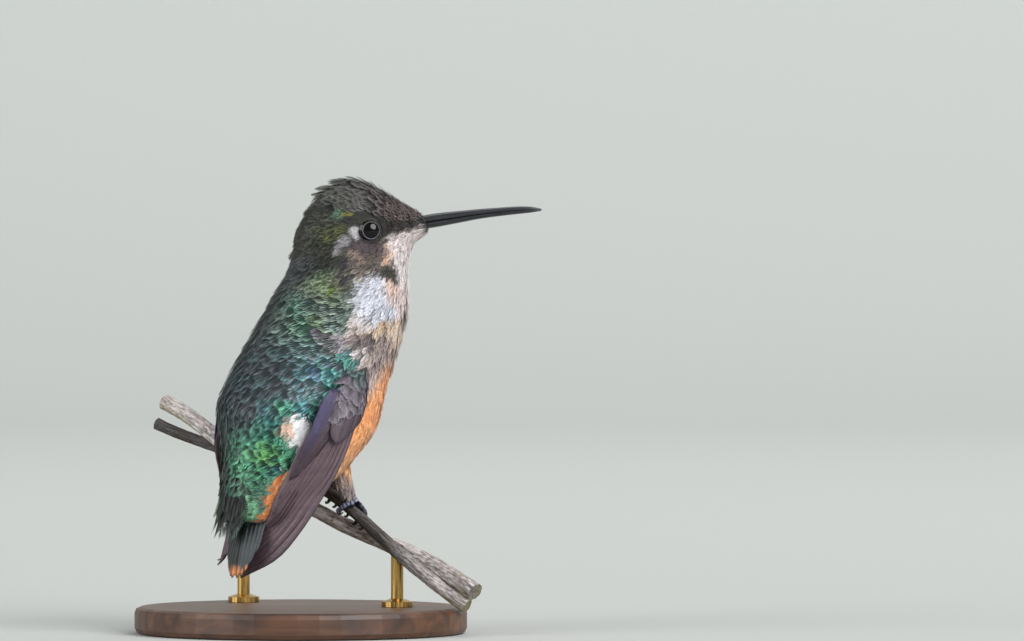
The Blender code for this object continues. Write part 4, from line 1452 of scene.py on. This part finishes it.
# %% Blades of the wing
def wing_blade(sheet, start, tip, halves, heights, late=1.6, blunt=0.35, stations=18):
    """A blade over the sheet from start to tip, each (t, s). late keeps it by the leading edge at first."""
    share = 1 - (1 - np.linspace(0, 1, stations)) ** 1.25
    t = start[0] + (tip[0] - start[0]) * share
    s = start[1] + (tip[1] - start[1]) * share ** late
    height = heights[0] + (heights[1] - heights[0]) * share
    out = on_sheet(sheet, t, s, "out")
    spine = on_sheet(sheet, t, s) + out * height[:, None]
    across = square_to(on_sheet(sheet, t, s, "across"), unit(np.gradient(spine, axis=0)))
    taper = np.sqrt(np.clip(1 - ((share - 1 + blunt).clip(0) / blunt) ** 2, 0.002, 1))
    swell = 0.55 + 0.45 * steps(share, 0.0, 0.3)
    chord = np.linalg.norm(on_sheet(sheet, t, np.ones_like(s)) - on_sheet(sheet, t, np.zeros_like(s)), axis=1)
    inner = np.minimum(halves[1], np.maximum((1.04 - s) * chord, 0.3))
    return blade(spine, across, out, halves[0] * taper * swell, inner * taper * swell)


PRIMARY_TIPS = [   # along and across the sheet
    (1.0, 0.35), (0.995, 0.7), (0.955, 0.86), (0.90, 0.93), (0.84, 0.96), (0.78, 0.98), (0.72, 0.99),
    (0.66, 1.0), (0.60, 1.0), (0.54, 1.0),
]
SECONDARY_TIPS = [(0.47, 0.98), (0.44, 0.96), (0.41, 0.94), (0.375, 0.92), (0.34, 0.90), (0.31, 0.88)]
PRIMARY_TONES = ["#56454d", "#5e4b52"]
SECONDARY_TONES = ["#45373f", "#413540", "#3c3245", "#3b3350", "#3d3554", "#3e3757"]
GREATER_COVERTS = [   # tip along and across the wing, half width, height over the sheet, tone
    (0.325, 0.06, 0.6, 0.30, "#3a3036"),
    (0.34, 0.22, 0.95, 0.34, "#453940"),
    (0.36, 0.42, 1.35, 0.42, "#493d45"),
]


def make_wing(side):
    sheet = sheets[side]
    sets = {"primaries": [], "secondaries": [], "greater_coverts": []}
    # painted shadow: the dark outer edge of each primary and secondary stands for the shade of the blade
    # beside it
    for j, tip in enumerate(PRIMARY_TIPS):
        low, vanes = -0.58 + 0.06 * j, (0.34 + 0.05 * min(j, 5), 1.75)
        made = wing_blade(sheet, (0.28, 0.03 + 0.1 * j), tip, vanes, (low, low))
        sets["primaries"].append((made, toned(PRIMARY_TONES[j % 2], "#4b3f43", "#382d31", gloss=0.05)))
    for j, (tip, tone) in enumerate(zip(SECONDARY_TIPS, SECONDARY_TONES)):
        high = 0.06 + 0.05 * j
        made = wing_blade(sheet, (0.14, 0.46 + 0.08 * j), tip, (0.95, 1.0), (high + 0.1, high), 1.2, 0.28, 14)
        sets["secondaries"].append((made, toned(tone, "#352e3c", "#272029", gloss=0.1)))
    for t, s, half, high, tone in GREATER_COVERTS:
        start, heights = (t - 0.18, s + 0.03), (high + 0.1, high)
        made = wing_blade(sheet, start, (t, s), (half, half), heights, 1.0, 0.38, 16)
        sets["greater_coverts"].append((made, toned(tone, "", gloss=0.15)))
    for name, rows in sets.items():
        replaced = () if name == "greater_coverts" else (f"wing_{side}_{name}",)
        settle(feather_group(f"{name}_{side}", *zip(*rows)), replaced, wing_vane)
    print("wing", side, {name: len(rows) for name, rows in sets.items()})


for side in ("right", "left"):
    make_wing(side)

# %% [markdown]
# The arm of the wing is flesh under the small coverts. A low pad on the sheet stands for it, and
# scale-like feathers cover the pad from the bend of the wing downwards.

# %% Arm and small coverts
COVERTS = {   # share of the arm where they root, and size as for the body's tracts
    "median": (0.26, 0.58, (2.9, 0.85, 0.85, 0.09, 0.05, 17, 0.9, 0.8, 1.0, 0.9, 0.05)),
    "small": (-1.0, 0.42, (1.7, 0.60, 0.50, 0.20, 0.06, 11, 0.1, 0.4, 1.0, 0.6, 0.08)),
}
PAD_ALONG, PAD_ACROSS, PAD_HIGH = (0.085, 0.26), (-0.04, 0.78), 0.55      # shares of the sheet, and height
WING_MARKS = [
    ("brown over the bend", 7.4, 32.0, 2.2, 1.3, 0, 0.4, "#5b5254", "#948a8a", 0.0),
    ("blue-green by the back", 4.4, 32.4, 1.9, 1.6, 0, 0.4, "#355a60", "#74989c", 0.5),
    ("turquoise at the bend", 4.4, 30.8, 1.1, 1.2, 0, 0.4, "#24665f", "#6fbaa9", 0.6),
    ("teal at the shoulder", 6.9, 30.9, 0.8, 0.8, 0, 0.4, "#465f5f", "#7a9894", 0.3),
    ("speckled wrist", 7.5, 26.4, 0.7, 2.2, 0, 0.3, "#211d22", "#a9a4ad", 0.0),
]


def painted_wing(points):
    """Body, fringe and gloss of the small coverts."""
    x, z, _ = folded(points)
    plain = [np.tile(rgb(tone), (len(points), 1)) for tone in ("#554c56", "#8a808b")]
    return marked((*plain, np.full(len(points), 0.15)), WING_MARKS, x, z, 0.4 * wander(points, 0.8, 7))


def round_off(value, low, high):
    """1 over most of a range and rounded down to 0 at both its ends."""
    return np.sqrt(np.clip(1 - (2 * (value - low) / (high - low) - 1) ** 4, 0, 1))


def make_arm(side):
    """The pad and its small coverts."""
    sheet = sheets[side]
    t, s = np.meshgrid(np.linspace(*PAD_ALONG, 27), np.linspace(*PAD_ACROSS, 25), indexing="ij")
    high = -0.2 + (PAD_HIGH + 0.2) * round_off(t, *PAD_ALONG) * round_off(s, *PAD_ACROSS)
    out = on_sheet(sheet, t, s, "out")
    base = on_sheet(sheet, t, s)
    points, faces = closed_sheet(base + out * high[..., None], base - out * 0.3)
    arm = mesh_piece(f"wing_arm_{side}", points, faces)
    shoulder, wrist = on_sheet(sheet, np.array([0.0, 0.36]), np.array([0.5, 0.42]))
    way = unit(wrist - shoulder)
    surface = surface_of(arm, way)
    outside = (surface["up"] * out[13, 12]).sum(1) > 0.1
    reach = (surface["corners"].mean(1) - shoulder) @ way / np.linalg.norm(wrist - shoulder)
    for name, (first, last, size) in COVERTS.items():
        grown = outside & (reach > first) & (reach < last)
        roots, faces = scattered(surface, lambda places: np.where(grown, size[2], 0.0), 21)
        shown = painted_wing(roots + 0.55 * size[0] * way)
        coat = plume(f"{name}_coverts_{side}", surface, roots, faces, size, shown, 31)
        settle(coat, (), contour)
        print(name, "coverts", side, len(roots))
    body_tone, _, _ = painted_wing(points)
    # painted shade: the pad under the coverts takes their body colour at 0.4 of its brightness
    paint(arm, body_tone * 0.4, np.zeros(len(points)))
    settle(arm, (f"wing_{side}_coverts",), under)


for side in ("right", "left"):
    make_arm(side)

# %% [markdown]
# The tail is ten blades, closed, with the middle pair on top. Each ends in a rufous tip.

# %% Tail
# each pair: how far right at the base and at the tip, height of the tip; the line: heights, and how far ahead
TAIL_PAIRS = [
    (0.35, 0.45, 6.95),
    (1.05, 0.95, 7.15),
    (1.75, 1.45, 7.7),
    (2.4, 1.95, 8.7),
    (2.95, 2.4, 9.9),
]
TAIL_BASE, TAIL_STATIONS = 15.4, 16
TAIL_LINE = ([6.9, 8.2, 9.8, 11.6, 13.15, TAIL_BASE], [-10.2, -10.0, -9.65, -9.15, -8.7, -7.9])
share = np.linspace(0, 1, TAIL_STATIONS)
taper = np.sqrt(np.clip(1 - ((share - 0.72).clip(0) / 0.28) ** 2, 0.002, 1))
out = np.tile(-AHEAD + np.array([0, 0, 0.1]), (TAIL_STATIONS, 1))
blades, tones = [], []
for i, (base_right, tip_right, tip_up) in reversed(list(enumerate(TAIL_PAIRS))):
    for sign in (-1, 1):
        up = TAIL_BASE + (tip_up - TAIL_BASE) * share
        right = 0.3 + sign * (base_right + (tip_right - base_right) * share) + 0.15 * share
        ahead = np.interp(up, *TAIL_LINE) - 0.45 + 0.14 * i + 0.03 * (sign > 0)
        spine = in_row_frame(np.stack([ahead, right, up], 1))
        across = np.tile(ASIDE * -sign, (TAIL_STATIONS, 1))
        blades.append(blade(spine, across, out, 0.55 * taper, 0.95 * taper))
        # painted light: the right-side blades, apart from the middle pair, take a lighter tone than their
        # left-side mates
        tones.append(toned("#191f1e" if sign < 0 or i < 1 else "#242a29", "#39413f",
                           "#464f55" if sign > 0 else "#4c565c", "#c47c48", max(1.25 - 0.3 * i, 0.05), 0.15))
settle(feather_group("tail_feathers", blades, tones), ("tail",), tail_vane)
print("tail feathers:", len(blades))

# %% [markdown]
# The eye is a dark ball set in the socket of the skin. Two lids close over it and leave a round
# opening, edged by a thin pale rim. Most of the ball is hidden: what shows is only its front.

# %% Eyes
EYE_RADIUS = float((eye_high - eye_low).z / 2 / MM)
LOOK_AHEAD = math.radians(13.0)
APERTURE = 1.0
LID = [   # angle past the opening, and height over the ball, from inside the lid outwards
    (0.02, -0.10), (-0.005, 0.0), (0.0, 0.03), (0.02, 0.05), (0.045, 0.05), (0.07, 0.02), (0.10, -0.06),
    (0.16, -0.22), (0.24, -0.4),
]
EYE_TONES = [(0.0, "#010101"), (0.42, "#010101"), (0.50, "#060403"), (0.58, "#020202")]
LID_TONES = [(0.0, "#a3a5ad"), (0.602, "#84858d"), (0.622, "#1d1a1c"), (1.0, "#171415")]
eyeball, tree, shader = finish("wet_cornea_over_dark_iris", Roughness=0.05, Specular_IOR_Level=0.3)
coloured(tree, shader, ramp(tree, stored(tree, "from_axis"), EYE_TONES))
lid_skin, tree, shader = finish("bare_eyelid_skin", Roughness=0.6)
grain = grained(tree, on_piece(tree), 0.12, 3.0)
uneven = maths(tree, "MULTIPLY_ADD", grain, 0.05, stored(tree, "from_axis"))
coloured(tree, shader, ramp(tree, uneven, LID_TONES))
raised(tree, shader, grain, 0.8, 0.05)


def turned_cap(name, profile, centre, axis, closed=False, sides=48):
    """A surface turned about an axis through (away from axis, along axis) points."""
    helper = unit(np.cross(axis, [0, 0, 1.0]))
    other = np.cross(axis, helper)
    turn = turns_of(sides)
    ring = np.cos(turn)[:, None] * helper + np.sin(turn)[:, None] * other
    profile = np.array(profile)
    points = centre + profile[:, None, :1] * ring[None] + profile[:, None, 1:] * axis
    piece = mesh_piece(name, points.reshape(-1, 3), ring_faces(len(profile), sides, closed))
    store(piece, "from_axis", np.repeat(np.abs(profile[:, 0]), sides) / EYE_RADIUS)
    return piece


def on_ball(angle, height=0.0):
    """Away from and along the eye's axis, for an angle from it and a height over the ball."""
    return (EYE_RADIUS + height) * math.sin(angle), (EYE_RADIUS + height) * math.cos(angle)


for side, sign in (("right", -1), ("left", 1)):
    centre = eye_centre(sign)
    axis = unit(np.array([math.sin(LOOK_AHEAD), sign * math.cos(LOOK_AHEAD), 0.02]))
    ball = [on_ball(angle) for angle in np.linspace(math.pi, 0.0, 33)[1:-1]]
    settle(turned_cap(f"eyeball_{side}", ball, centre, axis, True), (f"eye_{side}",), eyeball)
    opening = math.asin(APERTURE / EYE_RADIUS)
    lid = [on_ball(opening + angle, height) for angle, height in reversed(LID)]
    settle(turned_cap(f"eyelids_{side}", lid, centre, axis), (), lid_skin)
print("eye radius", round(EYE_RADIUS, 2), "mm, opening", APERTURE, "mm")

# %% [markdown]
# The bill is black horn, smooth and a little glossy. The two halves of the frame are rounded by
# subdivision, which keeps their line.

# %% Bill and claws
def horn(name, base, light, roughness):
    """Polished black horn with faint growth streaks along it."""
    made, tree, shader = finish(name, Roughness=roughness, Specular_IOR_Level=0.6)
    grain = grained(tree, on_piece(tree, (0.12, 1.0, 1.0)), 0.3, 4.0)
    coloured(tree, shader, ramp(tree, grain, [(0.35, base), (0.7, light)]))
    raised(tree, shader, grain, 0.3, 0.03)
    return made


bill_horn = horn("black_bill_horn", "#121317", "#24262c", 0.32)
claw_horn = horn("dark_claw_horn", "#17161a", "#2e2c32", 0.35)

for node in ("bill_upper", "bill_lower"):
    piece = copied([node], node.replace("bill", "bill_horn"))
    apply_modifier(piece, "SUBSURF", levels=2, render_levels=2)
    apply_modifier(piece, "DISPLACE", strength=0.07 * MM, mid_level=0.0)
    piece.data.shade_smooth()
    settle(piece, (node,), bill_horn)
    print(piece.name, "is", round(piece.dimensions.x / MM, 1), "mm long")

# %% [markdown]
# The perch is a cut length of dead vine: two woody strands wound round each other, with fibres, ridges
# and splits that follow each strand, pale where the bark is gone and green with algae underneath. The
# fibres are a noise that is stretched along the strand and turns slowly round it.

# %% Bark
vine_bark, tree, shader = finish("weathered_vine_bark", Roughness=0.85)
BARK_TONES = [(0.30, "#565150"), (0.42, "#7f7978"), (0.55, "#a09a98"), (0.68, "#c2bcba")]
along, around, crack, painted_light_and_shade = (stored(tree, n) for n in ("along", "around", "crack", "painted_light_and_shade"))


def over(colour, share, new):
    """A colour laid over another in the bark's tree."""
    mixed = add(tree, "Mix", {"data_type": "RGBA"}, i0=share, i6=colour, i7=linear(new))
    return mixed.outputs[2]


fibre_place = add(tree, "CombineXYZ", X=maths(tree, "SINE", around), Y=maths(tree, "COSINE", around),
                  Z=maths(tree, "MULTIPLY", along, 0.22)).outputs["Vector"]
fibre = add(tree, "TexNoise", Vector=fibre_place, Scale=4.5, Detail=5.0, Roughness=0.6).outputs["Fac"]
place = on_piece(tree)
pit = add(tree, "TexVoronoi", Vector=place, Scale=1 / (0.75 * MM), Randomness=1.0).outputs["Distance"]
patches = grained(tree, place, 5.0, 2.0)
bark = over(ramp(tree, fibre, BARK_TONES), ranged(tree, patches, 0.45, 0.65, 0.0, 0.5), "#8f8076")
bark = over(bark, ranged(tree, pit, 0.07, 0.14, 0.85, 0.0), "#1f1c1b")
# painted shade: the splits, which are also cut into the rings, are painted darker
bark = over(bark, maths(tree, "MULTIPLY", crack, 0.7), "#2a2520")
facing = add(tree, "SeparateXYZ", Vector=add(tree, "NewGeometry").outputs["Normal"]).outputs["Z"]
moss = maths(tree, "MULTIPLY", ranged(tree, facing, 0.0, -0.7, 0.0, 0.85),
             ranged(tree, patches, 0.45, 0.55, 0.2, 1.0))
# painted light and shade: the whole bark colour is scaled by each strand's brightness along it
bark = scaled(tree, over(bark, moss, "#5d5a24"), painted_light_and_shade)
coloured(tree, shader, bark)
raised(tree, shader, fibre, 0.8, 0.12)
print("bark:", len(tree.nodes), "nodes")

# %% [markdown]
# Each strand is swept along its own winding line, with ridges and splits cut into its rings. Where the
# bird grips it the bark is worn smoother, so that the toes lie close on it.

# %% Strands of the vine
VINE = {"radius": {"a": 0.70, "b": 0.92}, "swell": 0.012, "start": -17.5, "end": 20.5, "crossing": 12.0,
        "half_pitch": 19.0, "apart": (1.4, 1.02), "abreast": 0.90}
VINE_AROUND, VINE_ALONG = 44, 420
TWIST = 0.09                     # radians that the fibres turn round a strand in each millimetre
WORN, WORN_REACH = 4.0, 3.4      # middle and half length of the worn part


def vine_line(x):
    return np.stack([x, 2.9 - 0.7 * (x - 6.2), 17.05 - 0.56 * x - 0.0028 * x * x], -1)


def upright(along):
    """The way up and the way aside for a line that runs along."""
    up = unit(np.array([0, 0, 1.0]) - along * along[:, 2:])
    return up, np.cross(along, up)


def strand_frame(letter, x):
    """Centre of a strand at places along the vine, with the vine's up and side there."""
    up, side = upright(unit(vine_line(x + 0.1) - vine_line(x - 0.1)))
    turn = math.pi * (VINE["crossing"] - x) / VINE["half_pitch"] + (math.pi if letter == "b" else 0)
    apart = np.where(x < VINE["crossing"], *VINE["apart"])
    offset = up * (apart * np.sin(turn))[:, None] + side * (VINE["abreast"] * np.cos(turn))[:, None]
    return vine_line(x) + offset, up, side


def bark_relief(length, turn, seed):
    """Height of the ridges and depth of the splits on each ring of a strand."""
    ridge = np.empty((len(length), len(turn)))
    split = np.empty_like(ridge)
    for i, far in enumerate(length):
        for k, angle in enumerate(turn + TWIST * far):
            spot = Vector((1.6 * math.cos(angle), 1.6 * math.sin(angle), 0.12 * far + seed))
            fine = noise.noise(spot * 3.3 + Vector((5, 1, 2)))
            ridge[i, k] = 0.15 * noise.noise(spot) + 0.07 * fine
            split[i, k] = 1 - min(1.0, abs(noise.noise(spot * 1.9 + Vector((seed, 9, 4)))) * 9)
    return ridge, split


def make_strand(letter, seed, shade):
    x = np.linspace(VINE["start"], VINE["end"], VINE_ALONG)
    centre, _, _ = strand_frame(letter, x)
    up, side = upright(unit(np.gradient(centre, axis=0)))
    radius = (VINE["radius"][letter] + VINE["swell"] * np.maximum(0, x - 6.1))[:, None]
    turn = turns_of(VINE_AROUND)
    length = length_along(centre)
    ridge, split = bark_relief(length, turn, seed)
    reach = radius * (1 + ridge) - 0.09 * np.clip(split, 0, 1)
    if letter == "a":
        worn = np.exp(-((x - WORN) / WORN_REACH) ** 4)[:, None]
        reach = reach * (1 - worn) + (radius * 0.97 + 0.25 * (reach - radius)) * worn
    ring = np.cos(turn)[None, :, None] * side[:, None] + np.sin(turn)[None, :, None] * up[:, None]
    faces = [face[:1] + face[:0:-1] for face in ring_faces(VINE_ALONG, VINE_AROUND)]
    points = (centre[:, None] + reach[..., None] * ring).reshape(-1, 3)
    piece = mesh_piece(f"vine_strand_{letter}", points, faces)
    piece.data.set_sharp_from_angle(angle=math.radians(50))
    store(piece, "crack", split)
    # painted light and shade along the strand
    store(piece, "painted_light_and_shade", np.repeat(shade(x), VINE_AROUND))
    store(piece, "along", np.repeat(length, VINE_AROUND))
    store(piece, "around", np.tile(turn, VINE_ALONG))
    settle(piece, (f"perch_vine_{letter}",), vine_bark)
    print(piece.name, "is", round(length[-1], 1), "mm long")


# painted shade: strand a is scaled to 0.24 below x 9.5, under the bird; painted light: strand b is scaled to
# 1.6 below x 10, where the bird's shadow falls on it
make_strand("a", 3.0, lambda x: 0.24 + 0.76 * steps(x, 9.5, 17.5))
make_strand("b", 8.0, lambda x: 1.6 - 0.6 * steps(x, 10.0, 15.0))

# %% [markdown]
# Toes are bare skin in scales: a row of broad plates over the back of each toe, with soft pads below.
# Each toe is a tube bent round the strand that it grips, and the shank is one more tube.

# %% Tubes round the vine
TOES = {   # start and spread along the vine, first and last turn round it
    "inner": (-0.25, -0.45, 14, 138),
    "middle": (0.15, 0.35, 14, 150),
    "outer": (0.55, 0.8, 14, 138),
    "hind": (-0.1, -1.1, -20, -146),
}
FOOT_PLACES = {"right": 6.1, "left": 2.4}
GRIP = 1.06      # from the strand's middle to a toe's middle
TOE_RADIUS, TOE_SIDES, TOE_RINGS = 0.36, 18, 70
foot_skin, tree, shader = finish("scaled_foot_skin", Roughness=0.36)
# painted highlight and shade: the ramp runs from dark undersides and creases to blue-grey highlights on the
# plates
FOOT_TONES = [(0.25, "#141419"), (0.65, "#31333f"), (1.0, "#5b6076"), (1.3, "#7d83a0")]
grain = grained(tree, on_piece(tree), 0.12, 3.0)
both = maths(tree, "MULTIPLY_ADD", grain, 0.4, stored(tree, "toe_light_and_shade"))
coloured(tree, shader, ramp(tree, both, FOOT_TONES))
raised(tree, shader, grain, 0.4, 0.03)


def round_vine(x, turn, reach):
    """Places round strand a at angles from its top, and the way outward there."""
    centre, up, side = strand_frame("a", x)
    outward = up * np.cos(turn)[:, None] - side * np.sin(turn)[:, None]
    return centre + outward * np.reshape(reach, (-1, 1)), outward


def tube(line, outward, radii):
    """Rings of points about a line, the first of each ring on its back, with how far each faces the back."""
    ahead = unit(np.gradient(line, axis=0))
    back = square_to(outward, ahead)
    turn = turns_of(radii.shape[1])
    c, s = np.cos(turn)[None, :, None], np.sin(turn)[None, :, None]
    ring = c * back[:, None] + s * np.cross(ahead, back)[:, None]
    return line[:, None] + ring * radii[..., None], np.cos(turn)


print("toes of each foot:", list(TOES))

# %% [markdown]
# The plates swell between thin creases on the back of a toe, and the toe thickens at its joints and
# rounds off at its end. The claw is a hook of dark horn, deeper than wide, that goes on from there.

# %% Feet
PLATE, JOINT_GAP, ROUNDED = 0.40, 1.25, 0.93     # plate length, joint spacing, where the end begins to round
SHANK_WAY, SHANK_BACK, SHANK_RINGS = np.array([-0.8, 0.0, 1.25]), np.array([0.5, -0.8, 0]), 40
CLAW_RADIUS, CLAW_SIDES, CLAW_RINGS = 0.27, 12, 24
CLAW_DEPTH = 0.72 + 0.34 * np.abs(np.cos(turns_of(CLAW_SIDES)))


def scaled_tube(line, outward, is_toe):
    """One toe or shank: its rings with plates, and its painted light and shade, lighter on the plates along
    its back and darker in the creases and underneath.
    """
    long = length_along(line)
    share = long / long[-1]
    plate = np.sqrt(np.abs(np.sin(math.pi * long / PLATE)))
    joint = 1 + 0.10 * np.cos(2 * math.pi * long / JOINT_GAP) * is_toe - 0.12 * is_toe * long / long[-1]
    end = np.sqrt(np.clip(1 - ((share - ROUNDED).clip(0) / (1 - ROUNDED)) ** 2, 0.05, 1))
    rings, back = tube(line, outward, (TOE_RADIUS * joint * end)[:, None] * np.ones(TOE_SIDES))
    lifted = np.clip(back[None] + 0.25, 0, 1) * (plate[:, None] - 0.6) * 0.05
    rings = rings + (rings - line[:, None]) / TOE_RADIUS * lifted[..., None]
    # painted light and shade: plates lit along the back of the toe, dark underneath
    return rings, plate[:, None] * np.clip(0.35 + 0.75 * back[None], 0.1, 1)


def make_foot(side):
    place = FOOT_PLACES[side]
    s = np.linspace(0, 1, TOE_RINGS)
    tubes = [scaled_tube(*round_vine(place + slide / 2 + (slide / 2 + spread) * s,
                                     np.radians(start + (end - start) * s), GRIP), 1)
             for slide, spread, start, end in TOES.values()]
    ankle, _ = round_vine(np.array([place]), np.array([0.0]), GRIP + 0.16)
    shank = ankle + SHANK_WAY * np.linspace(0, 1, SHANK_RINGS)[:, None]
    tubes.append(scaled_tube(shank, np.tile(SHANK_BACK, (SHANK_RINGS, 1)), 0))
    faces, count = [], 0
    for rings, _ in tubes:
        faces += [[corner + count for corner in face] for face in ring_faces(*rings.shape[:2])]
        count += rings.shape[0] * rings.shape[1]
    points = np.concatenate([rings.reshape(-1, 3) for rings, _ in tubes])
    piece = mesh_piece(f"scaled_foot_{side}", points, faces)
    # painted light and shade of the toes, stored for their material
    store(piece, "toe_light_and_shade", np.concatenate([toe_light_and_shade.ravel() for _, toe_light_and_shade in tubes]))
    settle(piece, (f"foot_{side}", f"shank_{side}"), foot_skin)
    print("foot", side, len(piece.data.polygons), "faces")


def make_claw(side, name):
    slide, spread, _, end = TOES[name]
    s = np.linspace(0, 1, CLAW_RINGS)
    turn = np.radians(end + math.copysign(1, end) * (-6 + 60 * s))
    bow = GRIP - 0.06 + 0.26 * np.sin(math.pi * s) ** 0.8
    line, outward = round_vine(FOOT_PLACES[side] + slide + spread + 0.1 * s, turn, bow)
    rings, _ = tube(line, outward, (CLAW_RADIUS * (1 - s) ** 0.75 + 0.012)[:, None] * CLAW_DEPTH[None])
    claw = mesh_piece(f"horn_claw_{side}_{name}", rings.reshape(-1, 3), ring_faces(*rings.shape[:2]))
    settle(claw, (f"claw_{side}_{name}",), claw_horn)


for side in FOOT_PLACES:
    make_foot(side)
    for name in TOES:
        make_claw(side, name)

# %% [markdown]
# The stand is plain: a turned base of stained walnut with a satin lacquer, and two brass rods.

# %% Stand
walnut, tree, shader = finish("satin_lacquered_walnut", Roughness=0.5, Coat_Weight=0.15, Coat_Roughness=0.35)
WALNUT_TONES = [(0.3, "#2f1c12"), (0.5, "#4a2e1d"), (0.7, "#62402a")]
place = on_piece(tree, (0.07, 1.0, 1.0))
rings = grained(tree, place, 2.2, 5.0, Distortion=0.6)
coloured(tree, shader, ramp(tree, rings, WALNUT_TONES))
raised(tree, shader, grained(tree, place, 0.35, 2.0), 0.25, 0.04)
brass, tree, shader = finish("drawn_brass_rod", Roughness=0.3, Metallic=1.0)
lines = grained(tree, on_piece(tree, (1.0, 1.0, 0.05)), 0.12, 3.0)
coloured(tree, shader, ramp(tree, lines, [(0.3, "#9c7a3e"), (0.7, "#c9a765")]))
tree.links.new(ranged(tree, lines, 0.3, 0.7, 0.22, 0.4), shader.inputs["Roughness"])
for name, material in (("stand_base", walnut), ("stand_rod_left", brass), ("stand_rod_right", brass)):
    for slot in nodes[name].material_slots:
        slot.material = material
    print(name, "in", material.name)

# %% [markdown]
# A small glossy eye and metal-green feathers need broad soft light. A large lamp above on the near side
# gives the shape, a dimmer one opposite fills, and a third only lifts the backdrop.

# %% Studio
def area_light(name, place, target, size, power, colour="#ffffff"):
    data = bpy.data.lights.new(name, "AREA")
    data.shape = "DISK"
    data.size = size
    data.energy = power
    data.color = linear(colour)[:3]
    lamp = bpy.data.objects.new(name, data)
    lamp.location = place
    lamp.rotation_euler = (Vector(target) - Vector(place)).to_track_quat("-Z", "Y").to_euler()
    bpy.context.scene.collection.objects.link(lamp)


MIDDLE = Vector((0.0, 0.0, 0.035))
area_light("key", (1.38, -1.43, 1.2), MIDDLE, 1.8, 70.0)
area_light("fill", (-1.75, -1.0, 0.8), MIDDLE, 1.6, 32.0)
area_light("backdrop", (0.2, 0.5, 1.1), Vector((0.15, 1.3, 0.1)), 1.0, 9.0)

world = bpy.data.worlds.new("studio")
bpy.context.scene.world = world
world.use_nodes = True
world.node_tree.nodes["Background"].inputs["Color"].default_value = linear("#eef0f2")
world.node_tree.nodes["Background"].inputs["Strength"].default_value = 0.38
print("lamps:", len(bpy.data.lights))

# %% [markdown]
# A studio sweep is one sheet of matt paper that curves up behind the object, so there is no corner. Here
# a plane's far edge is extruded up, and the fold is bevelled round.

# %% Floor and backdrop
deselect()
bpy.ops.mesh.primitive_plane_add(size=1.0, location=(0, 0, 0))
floor = bpy.context.object
floor.name = "studio_sweep"
for vertex in floor.data.vertices:
    vertex.co.x *= 4.0
    vertex.co.y *= 3.0
bpy.ops.object.mode_set(mode="EDIT")
bpy.ops.mesh.select_all(action="DESELECT")
bpy.ops.object.mode_set(mode="OBJECT")
for edge in floor.data.edges:
    edge.select = all(floor.data.vertices[v].co.y > 1.0 for v in edge.vertices)
bpy.ops.object.mode_set(mode="EDIT")
bpy.ops.mesh.select_mode(type="EDGE")
bpy.ops.mesh.extrude_region_move(TRANSFORM_OT_translate={"value": (0, 0, 2.0)})
bpy.ops.object.mode_set(mode="OBJECT")
bevel = floor.modifiers.new("sweep", "BEVEL")
bevel.width = 0.6
bevel.segments = 12
floor.data.shade_smooth()
paper, tree, shader = finish("matt_backdrop_paper", Roughness=0.9)
shader.inputs["Base Color"].default_value = linear("#a9aca9")
floor.data.materials.append(paper)
print("sweep", [round(v, 2) for v in floor.dimensions], "m")

# %% [markdown]
# A long lens from over a metre away keeps the bird's parts in true proportion, as a portrait of so small
# an animal needs.

# %% Camera
AIM = Vector((25.4, 0.0, 37.6)) * MM
DISTANCE, LENS, SENSOR = 1.2, 351, 36      # metres from the bird, then millimetres
camera_data = bpy.data.cameras.new("camera")
camera_data.sensor_width = SENSOR
camera_data.lens = LENS
camera_data.clip_start = 0.01
camera = bpy.data.objects.new("camera", camera_data)
tilt = math.radians(1.0)
camera.location = AIM + DISTANCE * Vector((0, -math.cos(tilt), math.sin(tilt)))
camera.rotation_euler = (math.pi / 2 - tilt, 0, 0)
bpy.context.scene.collection.objects.link(camera)
bpy.context.scene.camera = camera
bpy.context.scene.view_settings.view_transform = "Standard"
print("camera at", [round(v, 3) for v in camera.location])
